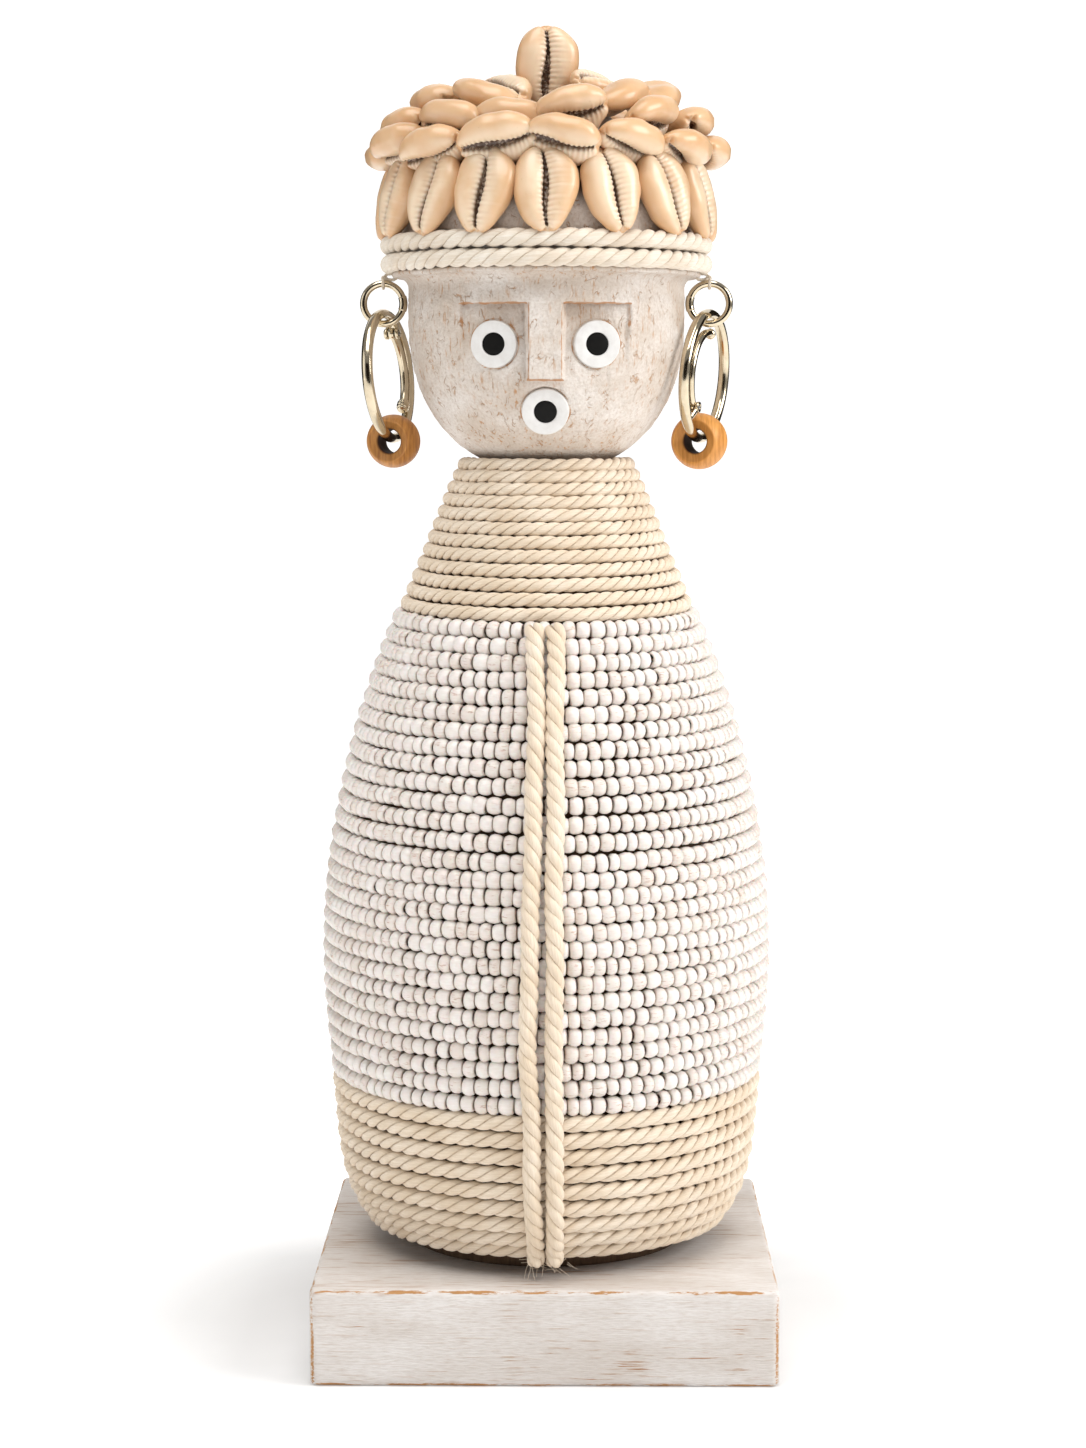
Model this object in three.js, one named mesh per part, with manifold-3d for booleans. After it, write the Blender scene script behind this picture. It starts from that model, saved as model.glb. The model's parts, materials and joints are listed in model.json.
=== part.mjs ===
// Namji doll: a carved wooden figure dressed in cotton rope and strung beads, with a crown of
// cowrie shells and two hoop earrings, standing on a square plinth.
// Millimetres, +Z up. The origin is the centre of the plinth's underside and the doll faces -Y.

import * as THREE from 'three';
import { mergeVertices } from 'three/addons/utils/BufferGeometryUtils.js';
import Module from 'manifold-3d';

const wasm = await Module();
wasm.setup();

// Driving dimensions

// Gap kept between pieces that touch, and between neighbouring turns of a winding
const clearance = 0.3;
const turnGap = 0.5;

// Plinth, its softened edges and the hidden dowel that holds the body to it
const plinthWidth = 120;
const plinthDepth = 120;
const plinthHeight = 25;
const plinthEdge = 1.3;
const footDowelRadius = 7;
const footDowelDepthInPlinth = 15;
const footDowelDepthInBody = 28;

// Turned wooden body: [radius, height above the plinth] from the foot up to the neck
const bodyHeight = 209.7;
const neckRadius = 18.9;
const bodyOutline = [
  [42.4, 6.5],
  [46.6, 11],
  [49.6, 17],
  [51.6, 28],
  [53.6, 46],
  [55.7, 81],
  [53.7, 106],
  [46.6, 140],
  [35.6, 170],
  [26.2, 193],
  [neckRadius, bodyHeight],
];
const footRadius = 37;
const shoulderRows = 12;
const shoulderRowsHeight = 38.1;
const hemRows = 9;
const hemRowsHeight = 41.8;
const shoulderRopeThickness = 3.5;
const hemRopeThickness = 4.2;
const hemStart = 5.4;
const beadThickness = 4.05;
const beadRows = 28;
// The rows hang this much lower at the front than at the sides
const rowDip = 2.7;

// Two cords laid side by side down the front
const frontCordDiameter = 4.5;
const frontCordSpacing = 5.3;
const frontCordTop = 168.6;
const frontCordBottom = 4;

// Head, its lip and the dowel that goes through the neck
const headRadius = 36.6;
const headBowlDepth = 40.5;
const headBowlPower = 2.2;
const headHeight = 49.8;
const headBowlCentre = 37.3;
const lipRadius = 41.8;
const lipThickness = 1.5;
const lipFillet = 2.9;
const neckDowelRadius = 6;
const neckDowelDepthInBody = 24;
const neckDowelDepthInHead = 20;

// Face: heights are above the neck
const eyeSpacing = 27.4;
const eyeHeight = 30.2;
const eyeTurn = 13;
const mouthHeight = 13;
const mouthTilt = 14;
const discRadius = 6.05;
const discThickness = 2;
const discProud = 0.9;
const pupilRadius = 2.9;
const pupilThickness = 1;
const noseWidth = 8.4;
const noseBackWidth = 12.2;
const noseBottom = 21;
const socketTop = 40.6;
const socketBottom = 17.5;
const socketWidthTop = 45.2;
const socketWidthBottom = 41.4;
const socketDepth = 3;
// The sockets reach their full depth this far below the brow
const socketLedge = 4;

// Crown: the drum that the head rope goes round, the cone that carries the shells, and the steps
const drumRadius = 39;
const drumHeight = 10;
const headRopeRows = 2;
const headRopeThickness = 4.4;
const crownConeHeight = 21.2;
const crownConeTopRadius = 34.2;

// Cowrie shells
const cowrieLength = 21.6;
const cowrieWidth = 15.8;
const cowrieThickness = 6.6;
const petalThickness = 6;
const ringCowries = 15;
const outerCowries = 14;
const middleCowries = 12;
const upperCowries = 9;
const outerTierReach = 48.3;
const middleTierReach = 42;
const upperTierReach = 34.8;
const topCowrieLength = 20.4;
const topCowrieThickness = 9;

// Earrings
const earringOffset = 43.3;
const ringRadius = 5.3;
const ringWireRadius = 0.95;
// Space between the head's lip and the ear ring below it
const earRingSlack = 0.45;
const threadRadius = 0.4;
const threadHoleInset = 1.9;
const hoopRadius = 16.5;
const hoopTubeRadius = 1.4;
const leftHoopTurn = 15.9;
const rightHoopTurn = 20.7;
// The hoops hang with their feet this many degrees nearer the head
const hoopLean = 4.5;
const clipTubeRadius = 1.1;
const clipPinRadius = 0.5;
const clipEyeRadius = 1.5;
const clipEyeWidth = 1.6;
const clipEarWidth = 0.9;
const clipPadRadius = 1.6;
// Gap between the hoop's wire and the arm inside it
const leftClipGap = 1.2;
const rightClipGap = 2.6;
const woodBeadThickness = 9.5;
const leftWoodBeadRadius = 7.1;
const rightWoodBeadRadius = 7.5;
const woodBeadHole = 3.2;
const woodBeadSag = 0.8;

// Facets
const turnSteps = 18;
const stepDownSteps = 4;
const roundSteps = 30;

// Places worked out from the dimensions
const neckZ = plinthHeight + bodyHeight;
const headTopZ = neckZ + headHeight;
const drumTopZ = headTopZ + drumHeight;
const coneTopZ = drumTopZ + crownConeHeight;
const tierRise = petalThickness + clearance;
const underLipZ = headTopZ - lipThickness;
const ringTopZ = underLipZ - earRingSlack - ringWireRadius;

const degrees = THREE.MathUtils.degToRad;

// Materials

const finish = (color, roughness, metalness = 0) =>
  new THREE.MeshStandardMaterial({ color, roughness, metalness });

const plinthPaint = finish('#dcd3c8', 0.75);
const bareWood = finish('#b98f5c', 0.8);
const headPaint = finish('#d8cdc2', 0.8);
const bodyCotton = finish('#e3d3b8', 0.95);
const headCotton = finish('#e9e0d2', 0.95);
const beadGlaze = finish('#e4dcd6', 0.5);
const shellGloss = finish('#e6cba8', 0.35);
const discWhite = finish('#dddad6', 0.3);
const pupilBlack = finish('#14130f', 0.3);
const paleGold = finish('#c9b48c', 0.25, 1);
const thread = finish('#e6dcc8', 0.9);
const leftBeadWood = finish('#b57a42', 0.5);
const rightBeadWood = finish('#d39a5c', 0.5);
const steel = finish('#8f9194', 0.4, 1);

// Geometry helpers

// Six times the volume inside the triangles: negative when the faces point in
function signedVolume(positions, index) {
  const a = new THREE.Vector3();
  const b = new THREE.Vector3();
  const c = new THREE.Vector3();
  let total = 0;
  for (let i = 0; i < index.length; i += 3) {
    a.fromArray(positions, index[i] * 3);
    b.fromArray(positions, index[i + 1] * 3);
    c.fromArray(positions, index[i + 2] * 3);
    total += a.dot(b.cross(c));
  }
  return total;
}

// One closed body with shared vertices, no flat triangles and its faces pointing out
function closed(geometry) {
  const bare = geometry.clone();
  for (const name of Object.keys(bare.attributes)) {
    if (name !== 'position') bare.deleteAttribute(name);
  }
  const merged = mergeVertices(bare, 1e-3);
  const positions = merged.attributes.position.array;
  const all = merged.index.array;
  const index = [];
  for (let i = 0; i < all.length; i += 3) {
    const [a, b, c] = [all[i], all[i + 1], all[i + 2]];
    if (a !== b && b !== c && c !== a) index.push(a, b, c);
  }
  if (signedVolume(positions, index) < 0) index.reverse();
  merged.setIndex(index);
  return merged;
}

function toManifold(geometry) {
  const solid = closed(geometry);
  const vertProperties = new Float32Array(solid.attributes.position.array);
  const triVerts = new Uint32Array(solid.index.array);
  return new wasm.Manifold(new wasm.Mesh({ numProp: 3, vertProperties, triVerts }));
}

function fromManifold(manifold) {
  const mesh = manifold.getMesh();
  const geometry = new THREE.BufferGeometry();
  geometry.setAttribute('position', new THREE.BufferAttribute(new Float32Array(mesh.vertProperties), 3));
  geometry.setIndex(Array.from(mesh.triVerts));
  return closed(geometry);
}

const join = (...parts) => fromManifold(parts.map(toManifold).reduce((whole, part) => whole.add(part)));
const cut = (part, ...tools) =>
  fromManifold(tools.map(toManifold).reduce((whole, tool) => whole.subtract(tool), toManifold(part)));

// Solid of revolution about Z from [radius, height] points; the first facet corner is at the front
function turned(profile, steps = roundSteps) {
  const points = profile.map(([radius, height]) => new THREE.Vector2(radius, height));
  return closed(new THREE.LatheGeometry(points, steps).rotateX(Math.PI / 2));
}

// Skin over rows of points of equal count; the ends are capped, or joined when the row of rows is a ring
function skin(rows, ring = false) {
  const sides = rows[0].length;
  const positions = rows.flat().flatMap((point) => [point.x, point.y, point.z]);
  const index = [];
  const spans = ring ? rows.length : rows.length - 1;
  for (let row = 0; row < spans; row += 1) {
    const next = (row + 1) % rows.length;
    for (let side = 0; side < sides; side += 1) {
      const turn = (side + 1) % sides;
      const a = row * sides + side;
      const b = row * sides + turn;
      const c = next * sides + turn;
      const d = next * sides + side;
      index.push(a, b, c, a, c, d);
    }
  }
  if (!ring) {
    const last = (rows.length - 1) * sides;
    for (let side = 1; side < sides - 1; side += 1) {
      index.push(0, side + 1, side, last, last + side, last + side + 1);
    }
  }
  const geometry = new THREE.BufferGeometry();
  geometry.setAttribute('position', new THREE.Float32BufferAttribute(positions, 3));
  geometry.setIndex(index);
  return closed(geometry);
}

// Points of a round section of the given radius, spread from two square directions
function roundSection(centre, across, up, radius, sides) {
  return Array.from({ length: sides }, (_, side) => {
    const angle = (side / sides) * Math.PI * 2;
    return centre.clone()
      .addScaledVector(across, Math.cos(angle) * radius)
      .addScaledVector(up, Math.sin(angle) * radius);
  });
}

// Arc of wire in the YZ plane; angles are in degrees from the top, positive towards +Y
function arcWire(radius, wireRadius, from, to, steps, sides) {
  const ring = to - from >= 360;
  const count = ring ? steps : steps + 1;
  const rows = Array.from({ length: count }, (_, step) => {
    const angle = degrees(from + ((to - from) * step) / steps);
    const outward = new THREE.Vector3(0, Math.sin(angle), Math.cos(angle));
    const centre = outward.clone().multiplyScalar(radius);
    return roundSection(centre, outward, new THREE.Vector3(1, 0, 0), wireRadius, sides);
  });
  return skin(rows, ring);
}

// Smooth value between [value, height] points, by cubic steps that share their slopes
function smoothThrough(points, height) {
  const last = points.length - 1;
  const at = THREE.MathUtils.clamp(height, points[0][1], points[last][1]);
  let i = 0;
  while (i < last - 1 && at > points[i + 1][1]) i += 1;
  const slope = (k) => {
    const low = Math.max(k - 1, 0);
    const high = Math.min(k + 1, last);
    return (points[high][0] - points[low][0]) / (points[high][1] - points[low][1]);
  };
  const [startValue, startHeight] = points[i];
  const [endValue, endHeight] = points[i + 1];
  const span = endHeight - startHeight;
  const t = (at - startHeight) / span;
  return (2 * t ** 3 - 3 * t ** 2 + 1) * startValue
    + (t ** 3 - 2 * t ** 2 + t) * span * slope(i)
    + (3 * t ** 2 - 2 * t ** 3) * endValue
    + (t ** 3 - t ** 2) * span * slope(i + 1);
}

const doll = new THREE.Group();

function piece(name, geometry, material, parent = doll) {
  const mesh = new THREE.Mesh(geometry, material);
  mesh.name = name;
  parent.add(mesh);
  return mesh;
}

// Plinth and its dowel

const footDowelLowZ = plinthHeight - footDowelDepthInPlinth;
const footDowelLength = footDowelDepthInPlinth + footDowelDepthInBody;
// Facets of the round dowels and their bores
const dowelSteps = 16;

const rod = (radius, length) =>
  turned([[0, 0], [radius, 0], [radius, length], [0, length]], dowelSteps);

function plinth() {
  const corner = plinthEdge;
  const halfWidth = plinthWidth / 2 - plinthEdge;
  const halfDepth = plinthDepth / 2 - plinthEdge;
  const outline = new THREE.Shape();
  outline.moveTo(-halfWidth + corner, -halfDepth);
  outline.lineTo(halfWidth - corner, -halfDepth);
  outline.lineTo(halfWidth, -halfDepth + corner);
  outline.lineTo(halfWidth, halfDepth - corner);
  outline.lineTo(halfWidth - corner, halfDepth);
  outline.lineTo(-halfWidth + corner, halfDepth);
  outline.lineTo(-halfWidth, halfDepth - corner);
  outline.lineTo(-halfWidth, -halfDepth + corner);
  const block = new THREE.ExtrudeGeometry(outline, {
    depth: plinthHeight - 2 * plinthEdge,
    bevelThickness: plinthEdge,
    bevelSize: plinthEdge,
    bevelSegments: 2,
  });
  const bore = rod(footDowelRadius + clearance, 2 * footDowelDepthInPlinth);
  return cut(block.translate(0, 0, plinthEdge), bore.translate(0, 0, footDowelLowZ - clearance));
}

piece('plinth', plinth(), plinthPaint);
piece('foot_dowel', rod(footDowelRadius, footDowelLength), bareWood).position.z = footDowelLowZ;

// Body core: a turned wooden bottle with a blind dowel hole at each end

const coreRadius = (z) => smoothThrough(bodyOutline, z - plinthHeight);

function bodyCore() {
  const rings = 18;
  const low = plinthHeight + bodyOutline[0][1];
  const footBoreTop = footDowelLowZ + footDowelLength + clearance;
  const neckBoreBottom = neckZ - neckDowelDepthInBody - clearance;
  const profile = [
    [0, footBoreTop],
    [footDowelRadius + clearance, footBoreTop],
    [footDowelRadius + clearance, plinthHeight],
    [footRadius, plinthHeight],
  ];
  for (let ring = 0; ring <= rings; ring += 1) {
    // Closer rings near the foot, where the outline turns most
    const share = (ring / rings) ** 1.3;
    const z = low + (neckZ - low) * share;
    profile.push([coreRadius(z), z]);
  }
  profile.push([neckDowelRadius + clearance, neckZ]);
  profile.push([neckDowelRadius + clearance, neckBoreBottom]);
  profile.push([0, neckBoreBottom]);
  return turned(profile, turnSteps);
}

piece('body_core', bodyCore(), bareWood);

piece('neck_dowel', rod(neckDowelRadius, neckDowelDepthInBody + neckDowelDepthInHead), bareWood)
  .position.z = neckZ - neckDowelDepthInBody;

// Windings

// How far the rows hang at the front at a height of the body: none at the neck and at the foot
const hemBottomZ = plinthHeight + hemStart;
const hemTopZ = hemBottomZ + hemRowsHeight;
const shoulderBottomZ = neckZ - shoulderRowsHeight;
const dipAt = (z) => rowDip * THREE.MathUtils.clamp(
  Math.min((neckZ - z) / (neckZ - shoulderBottomZ), (z - hemBottomZ) / (hemTopZ - hemBottomZ)), 0, 1);

// Least distance between points of one winding that lie about a turn apart
function leastSelfGap(rows) {
  let least = Infinity;
  for (let row = 0; row < rows.length; row += 1) {
    for (let step = -2; step <= 2; step += 1) {
      const other = rows[row + turnSteps + step];
      if (!other) continue;
      for (const a of rows[row]) {
        for (const b of other) least = Math.min(least, a.distanceTo(b));
      }
    }
  }
  return least;
}

// A winding is one unbroken tube. Its turns lie level, and each steps down to the next at the back.
// The rows are equal steps along the side of the core, and the section is a diamond that stands on
// the surface. The first turn starts and the last one ends beside the steps.
function winding(name, { top, bottom, turns, thickness, radiusAt, dip }) {
  const slices = 400;
  const heights = [];
  const lengths = [0];
  for (let slice = 0; slice <= slices; slice += 1) heights.push(top + ((bottom - top) * slice) / slices);
  for (let slice = 1; slice <= slices; slice += 1) {
    const rise = heights[slice] - heights[slice - 1];
    const run = radiusAt(heights[slice]) - radiusAt(heights[slice - 1]);
    lengths.push(lengths[slice - 1] + Math.hypot(rise, run));
  }
  const pitch = lengths[slices] / turns;
  const heightAtLength = (length) => {
    let slice = 1;
    while (slice < slices && lengths[slice] < length) slice += 1;
    const share = (length - lengths[slice - 1]) / (lengths[slice] - lengths[slice - 1]);
    return heights[slice - 1] + (heights[slice] - heights[slice - 1]) * share;
  };
  const across = thickness / 2;
  // Centre and directions of the section; a row may be a fraction on its way down to the next
  const sectionAt = (row, angle) => {
    const level = heightAtLength(pitch * (0.5 + row));
    const z = level - (dip(level) * (1 - Math.cos(angle))) / 2;
    const probe = 0.5;
    const tilt = Math.atan((radiusAt(z + probe) - radiusAt(z - probe)) / (2 * probe));
    const radial = new THREE.Vector3(Math.sin(angle), Math.cos(angle), 0);
    return {
      centre: radial.clone().multiplyScalar(radiusAt(z) + (clearance + across) / Math.cos(tilt)).setZ(z),
      normal: radial.clone().multiplyScalar(Math.cos(tilt)).setZ(-Math.sin(tilt)),
      rise: radial.clone().multiplyScalar(Math.sin(tilt)).setZ(Math.cos(tilt)),
    };
  };
  // The dip draws some rows together at the front, so the section's height comes from the closest two
  let closest = pitch;
  for (let row = 1; row < turns; row += 1) {
    const above = sectionAt(row - 1, Math.PI).centre;
    closest = Math.min(closest, above.distanceTo(sectionAt(row, Math.PI).centre));
  }
  const along = (closest - turnGap) / 2;
  const rows = [];
  const halfStepDown = stepDownSteps / 2;
  for (let step = halfStepDown; step <= turns * turnSteps - halfStepDown; step += 1) {
    const nearestBack = Math.round(step / turnSteps);
    const past = (step - nearestBack * turnSteps) / stepDownSteps + 0.5;
    const row = past > 0 && past < 1 ? nearestBack - 1 + past : Math.floor(step / turnSteps);
    const { centre, normal, rise } = sectionAt(row, (step / turnSteps) * Math.PI * 2);
    rows.push([
      centre.clone().addScaledVector(normal, across),
      centre.clone().addScaledVector(rise, along),
      centre.clone().addScaledVector(normal, -across),
      centre.clone().addScaledVector(rise, -along),
    ]);
  }
  const gap = leastSelfGap(rows);
  console.log(`${name}: ${turns} turns, pitch ${pitch.toFixed(2)}, least gap ${gap.toFixed(2)} mm`);
  return skin(rows);
}

piece('shoulder_rope', winding('shoulder_rope', {
  top: neckZ - clearance,
  bottom: shoulderBottomZ,
  turns: shoulderRows,
  thickness: shoulderRopeThickness,
  radiusAt: coreRadius,
  dip: dipAt,
}), bodyCotton);

const beadMiddleZ = (shoulderBottomZ + hemTopZ) / 2;
piece('bead_string_upper', winding('bead_string_upper', {
  top: shoulderBottomZ,
  bottom: beadMiddleZ,
  turns: Math.ceil(beadRows / 2),
  thickness: beadThickness,
  radiusAt: coreRadius,
  dip: dipAt,
}), beadGlaze);
piece('bead_string_lower', winding('bead_string_lower', {
  top: beadMiddleZ,
  bottom: hemTopZ,
  turns: Math.floor(beadRows / 2),
  thickness: beadThickness,
  radiusAt: coreRadius,
  dip: dipAt,
}), beadGlaze);
piece('hem_rope', winding('hem_rope', {
  top: hemTopZ,
  bottom: hemBottomZ,
  turns: hemRows,
  thickness: hemRopeThickness,
  radiusAt: coreRadius,
  dip: dipAt,
}), bodyCotton);
piece('head_rope', winding('head_rope', {
  top: drumTopZ - clearance,
  bottom: headTopZ + clearance,
  turns: headRopeRows,
  thickness: headRopeThickness,
  radiusAt: () => drumRadius,
  dip: () => 0,
}), headCotton);

// Front cords: straight ropes laid over the windings, from under the shoulder rope to below the hem

function frontCord(side) {
  const steps = 22;
  const radius = frontCordDiameter / 2;
  const outer = Math.max(shoulderRopeThickness, beadThickness, hemRopeThickness) + 2 * clearance;
  const low = hemBottomZ + hemRopeThickness / 2;
  const points = Array.from({ length: steps + 1 }, (_, step) => {
    const height = frontCordTop - ((frontCordTop - frontCordBottom) * step) / steps;
    const z = plinthHeight + height;
    const depth = coreRadius(Math.max(z, low)) + outer + radius;
    return new THREE.Vector3((side * frontCordSpacing) / 2, -depth, z);
  });
  const sides = 6;
  const rows = points.map((point, step) => {
    const ahead = points[Math.min(step + 1, steps)];
    const behind = points[Math.max(step - 1, 0)];
    const down = ahead.clone().sub(behind).normalize();
    const across = new THREE.Vector3(1, 0, 0);
    return roundSection(point, across, new THREE.Vector3().crossVectors(down, across), radius, sides);
  });
  return skin(rows);
}

piece('front_cord_left', frontCord(-1), bodyCotton);
piece('front_cord_right', frontCord(1), bodyCotton);

// Head: a carved bowl with a lip, two eye sockets, a nose, and seats for the three discs

const bowlRadius = (height) => {
  const below = Math.max(headBowlCentre - height, 0) / headBowlDepth;
  return headRadius * (1 - below ** headBowlPower) ** (1 / headBowlPower);
};

// The bowl's own outline, drawn in by the given depth between the bottom and the top of the sockets
function bowlProfile(depthAt) {
  const rings = 9;
  const profile = [[0, 0]];
  for (let ring = 0; ring <= rings; ring += 1) {
    const height = (socketTop * ring) / rings;
    profile.push([bowlRadius(height) - depthAt(height), height]);
  }
  return profile;
}

function headBlank() {
  const underLip = headHeight - lipThickness;
  const filletSteps = 2;
  const filletEnd = 80;
  const profile = bowlProfile(() => 0);
  profile.splice(0, 1,
    [0, neckDowelDepthInHead + clearance],
    [neckDowelRadius + clearance, neckDowelDepthInHead + clearance],
    [neckDowelRadius + clearance, 0]);
  for (let step = 0; step <= filletSteps; step += 1) {
    const turn = degrees((filletEnd * step) / filletSteps);
    profile.push([
      headRadius + lipFillet * (1 - Math.cos(turn)),
      underLip - lipFillet * (1 - Math.sin(turn)),
    ]);
  }
  profile.push([lipRadius, underLip], [lipRadius, headHeight], [0, headHeight]);
  return turned(profile);
}

// Slab along Y with the given outline in XZ, from the front to the depth of the bowl's centre
function frontSlab(points) {
  const shape = new THREE.Shape(points.map(([x, z]) => new THREE.Vector2(x, z)));
  const slab = new THREE.ExtrudeGeometry(shape, { depth: lipRadius, bevelEnabled: false });
  return closed(slab.rotateX(Math.PI / 2));
}

function socketTool() {
  const depthAt = (height) =>
    socketDepth * THREE.MathUtils.smoothstep(height, socketBottom, socketTop - socketLedge);
  const floorProfile = bowlProfile(depthAt);
  floorProfile.push([headRadius - socketDepth, socketTop + socketLedge], [0, socketTop + socketLedge]);
  const band = frontSlab([
    [-socketWidthBottom / 2, socketBottom],
    [socketWidthBottom / 2, socketBottom],
    [socketWidthTop / 2, socketTop],
    [-socketWidthTop / 2, socketTop],
  ]);
  return cut(band, turned(floorProfile));
}

// Nose: a wedge with slanted sides whose front is flush with the brow
function nose() {
  const front = headRadius - 0.15;
  const back = front - socketDepth - 3;
  const outline = new THREE.Shape([
    new THREE.Vector2(-noseWidth / 2, -front),
    new THREE.Vector2(noseWidth / 2, -front),
    new THREE.Vector2(noseBackWidth / 2, -back),
    new THREE.Vector2(-noseBackWidth / 2, -back),
  ]);
  const depth = socketTop - noseBottom + 0.5;
  const wedge = new THREE.ExtrudeGeometry(outline, { depth, bevelEnabled: false });
  return wedge.translate(0, 0, noseBottom);
}

// Where each disc sits: its outer face looks along -Y of its own turned group
function discPlace(x, height, turn, tilt) {
  const surface = bowlRadius(height);
  const place = new THREE.Group();
  place.position.set(x, -Math.sqrt(surface ** 2 - x ** 2) - discProud, neckZ + height);
  place.rotation.set(degrees(tilt), 0, degrees(turn), 'ZXY');
  place.updateMatrixWorld();
  return place;
}

const eyeInset = 2;
const eyePlace = (side) => {
  const place = discPlace((side * eyeSpacing) / 2, eyeHeight, side * eyeTurn, 0);
  place.translateY(eyeInset);
  place.updateMatrixWorld();
  return place;
};
const discs = [
  { name: 'eye_left', place: eyePlace(-1) },
  { name: 'eye_right', place: eyePlace(1) },
  { name: 'mouth', place: discPlace(0, mouthHeight, 0, mouthTilt) },
];

// Plug along Y, from the face at y = 0 back to the given depth
const plug = (radius, depth, steps = 20) =>
  turned([[0, 0], [radius, 0], [radius, depth], [0, depth]], steps).rotateX(-Math.PI / 2);

function head() {
  const inHead = new THREE.Matrix4().makeTranslation(0, 0, -neckZ);
  const seats = discs.map(({ place }) => {
    const reach = 8;
    const seat = plug(discRadius + clearance, discThickness + clearance + reach);
    return seat.translate(0, -reach, 0).applyMatrix4(place.matrixWorld).applyMatrix4(inHead);
  });
  const carved = join(cut(headBlank(), socketTool()), nose());
  const notches = [-1, 1].map((side) => threadNotch(side));
  return cut(carved, ...seats, ...notches);
}

// Hole and groove in the lip, where the earring's thread goes through and round the edge
function threadNotch(side) {
  const slack = threadRadius + clearance;
  const holeAt = side * (lipRadius - threadHoleInset);
  const hole = turned([[0, 0], [slack, 0], [slack, 2 * lipThickness], [0, 2 * lipThickness]], 10)
    .translate(holeAt, 0, headHeight - 1.5 * lipThickness);
  const grooveDepth = 2 * threadRadius + clearance;
  const groove = new THREE.BoxGeometry(2 * threadHoleInset, 2 * slack, 2 * grooveDepth)
    .translate(holeAt + side * threadHoleInset, 0, headHeight);
  return join(hole, groove);
}

piece('head', head(), headPaint).position.z = neckZ;

for (const { name, place } of discs) {
  doll.add(place);
  const pupilSeat = plug(pupilRadius + clearance, pupilThickness).translate(0, -pupilThickness / 2, 0);
  piece(`${name}_disc`, cut(plug(discRadius, discThickness), pupilSeat), discWhite, place);
  piece(`${name}_pupil`, plug(pupilRadius, pupilThickness), pupilBlack, place)
    .position.y = pupilThickness / 2 - clearance - pupilThickness;
}

// Crown core: the drum, then a cone, then one step for each tier of shells

const tierReaches = [outerTierReach, middleTierReach, upperTierReach];
const tierInner = (tier) => tierReaches[tier] - cowrieLength;
const ringLean = Math.atan((drumRadius - crownConeTopRadius) / crownConeHeight);

function crownCore() {
  const profile = [[0, 0], [drumRadius, 0], [drumRadius, drumHeight]];
  profile.push([crownConeTopRadius, drumHeight + crownConeHeight]);
  // The last tier lies on top of the second one's step
  for (let tier = 0; tier < tierReaches.length - 1; tier += 1) {
    const z = drumHeight + crownConeHeight + tier * tierRise;
    const inner = tierInner(tier) - clearance;
    profile.push([inner, z], [inner, z + tierRise]);
  }
  profile.push([0, profile.at(-1)[1]]);
  return turned(profile, turnSteps);
}

piece('crown_core', crownCore(), headPaint).position.z = headTopZ;

// Cowrie: an egg-shaped shell, flat at the back, with two lips and the slit between them in front.
// It lies along Z with its slit facing -Y. Its section is the same seven points at every station,
// spread by the half width and the half thickness there.
function cowrie(length, width, thickness) {
  const section = [
    [-1, 0.05],
    [-0.3, -1],
    [0, -0.45],
    [0.3, -1],
    [1, 0.05],
    [0.55, 1],
    [-0.55, 1],
  ];
  const stations = [-0.86, -0.3, 0.35, 0.84];
  const rows = stations.map((station) => {
    const round = (1 - Math.abs(station) ** 2.3) ** 0.5;
    const halfWidth = (width / 2) * round * (1 + 0.1 * station);
    const halfThickness = (thickness / 2) * round ** 0.8;
    return section.map(([x, y]) =>
      new THREE.Vector3(x * halfWidth, y * halfThickness, (station * length) / 2));
  });
  const tip = (end, share) => section.map(([x, y]) => new THREE.Vector3(
    x * width * share, y * thickness * share, (end * length) / 2));
  return skin([tip(-1, 0.05), ...rows, tip(1, 0.08)]);
}

// Ring of upright shells, glued with their backs to the cone

// Half way up the cone's side, less what the lean adds to the height of the shell's middle
const ringShellHeight = crownConeHeight / Math.cos(ringLean) / 2 - (cowrieThickness / 2) * Math.sin(ringLean);
const ringGroup = new THREE.Group();
ringGroup.position.z = drumTopZ;
doll.add(ringGroup);

for (let shell = 0; shell < ringCowries; shell += 1) {
  const spoke = new THREE.Group();
  spoke.rotation.z = (shell / ringCowries) * Math.PI * 2;
  ringGroup.add(spoke);
  const lean = new THREE.Group();
  lean.position.set(0, -drumRadius, 0);
  lean.rotation.x = -ringLean;
  spoke.add(lean);
  const name = `ring_cowrie_${String(shell + 1).padStart(2, '0')}`;
  piece(name, cowrie(cowrieLength, cowrieWidth, cowrieThickness), shellGloss, lean)
    .position.set(0, -cowrieThickness / 2 - clearance, ringShellHeight);
}

// Tiers of shells that lie like petals, slit side up, with their wide ends outwards

function petal(tier) {
  const shell = cowrie(cowrieLength, cowrieWidth, petalThickness);
  return shell.rotateX(Math.PI / 2)
    .rotateY(Math.PI)
    .translate(0, -tierReaches[tier] + cowrieLength / 2, petalThickness / 2 + clearance);
}

const petalTurn = (tier, shell, count) => ((shell + (tier % 2) / 2) / count) * Math.PI * 2;

// A tier whose shells share one bed of glue, a flat ring under their inner ends
function gluedTier(tier, count) {
  const inner = tierInner(tier);
  const bedWidth = 5;
  const bedThickness = petalThickness * 0.55;
  const bed = turned([
    [inner, clearance],
    [inner + bedWidth, clearance],
    [inner + bedWidth, bedThickness],
    [inner, bedThickness],
    [inner, clearance],
  ], count * 2);
  const petals = Array.from({ length: count }, (_, shell) =>
    petal(tier).rotateZ(petalTurn(tier, shell, count)));
  return join(bed, ...petals);
}

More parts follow.
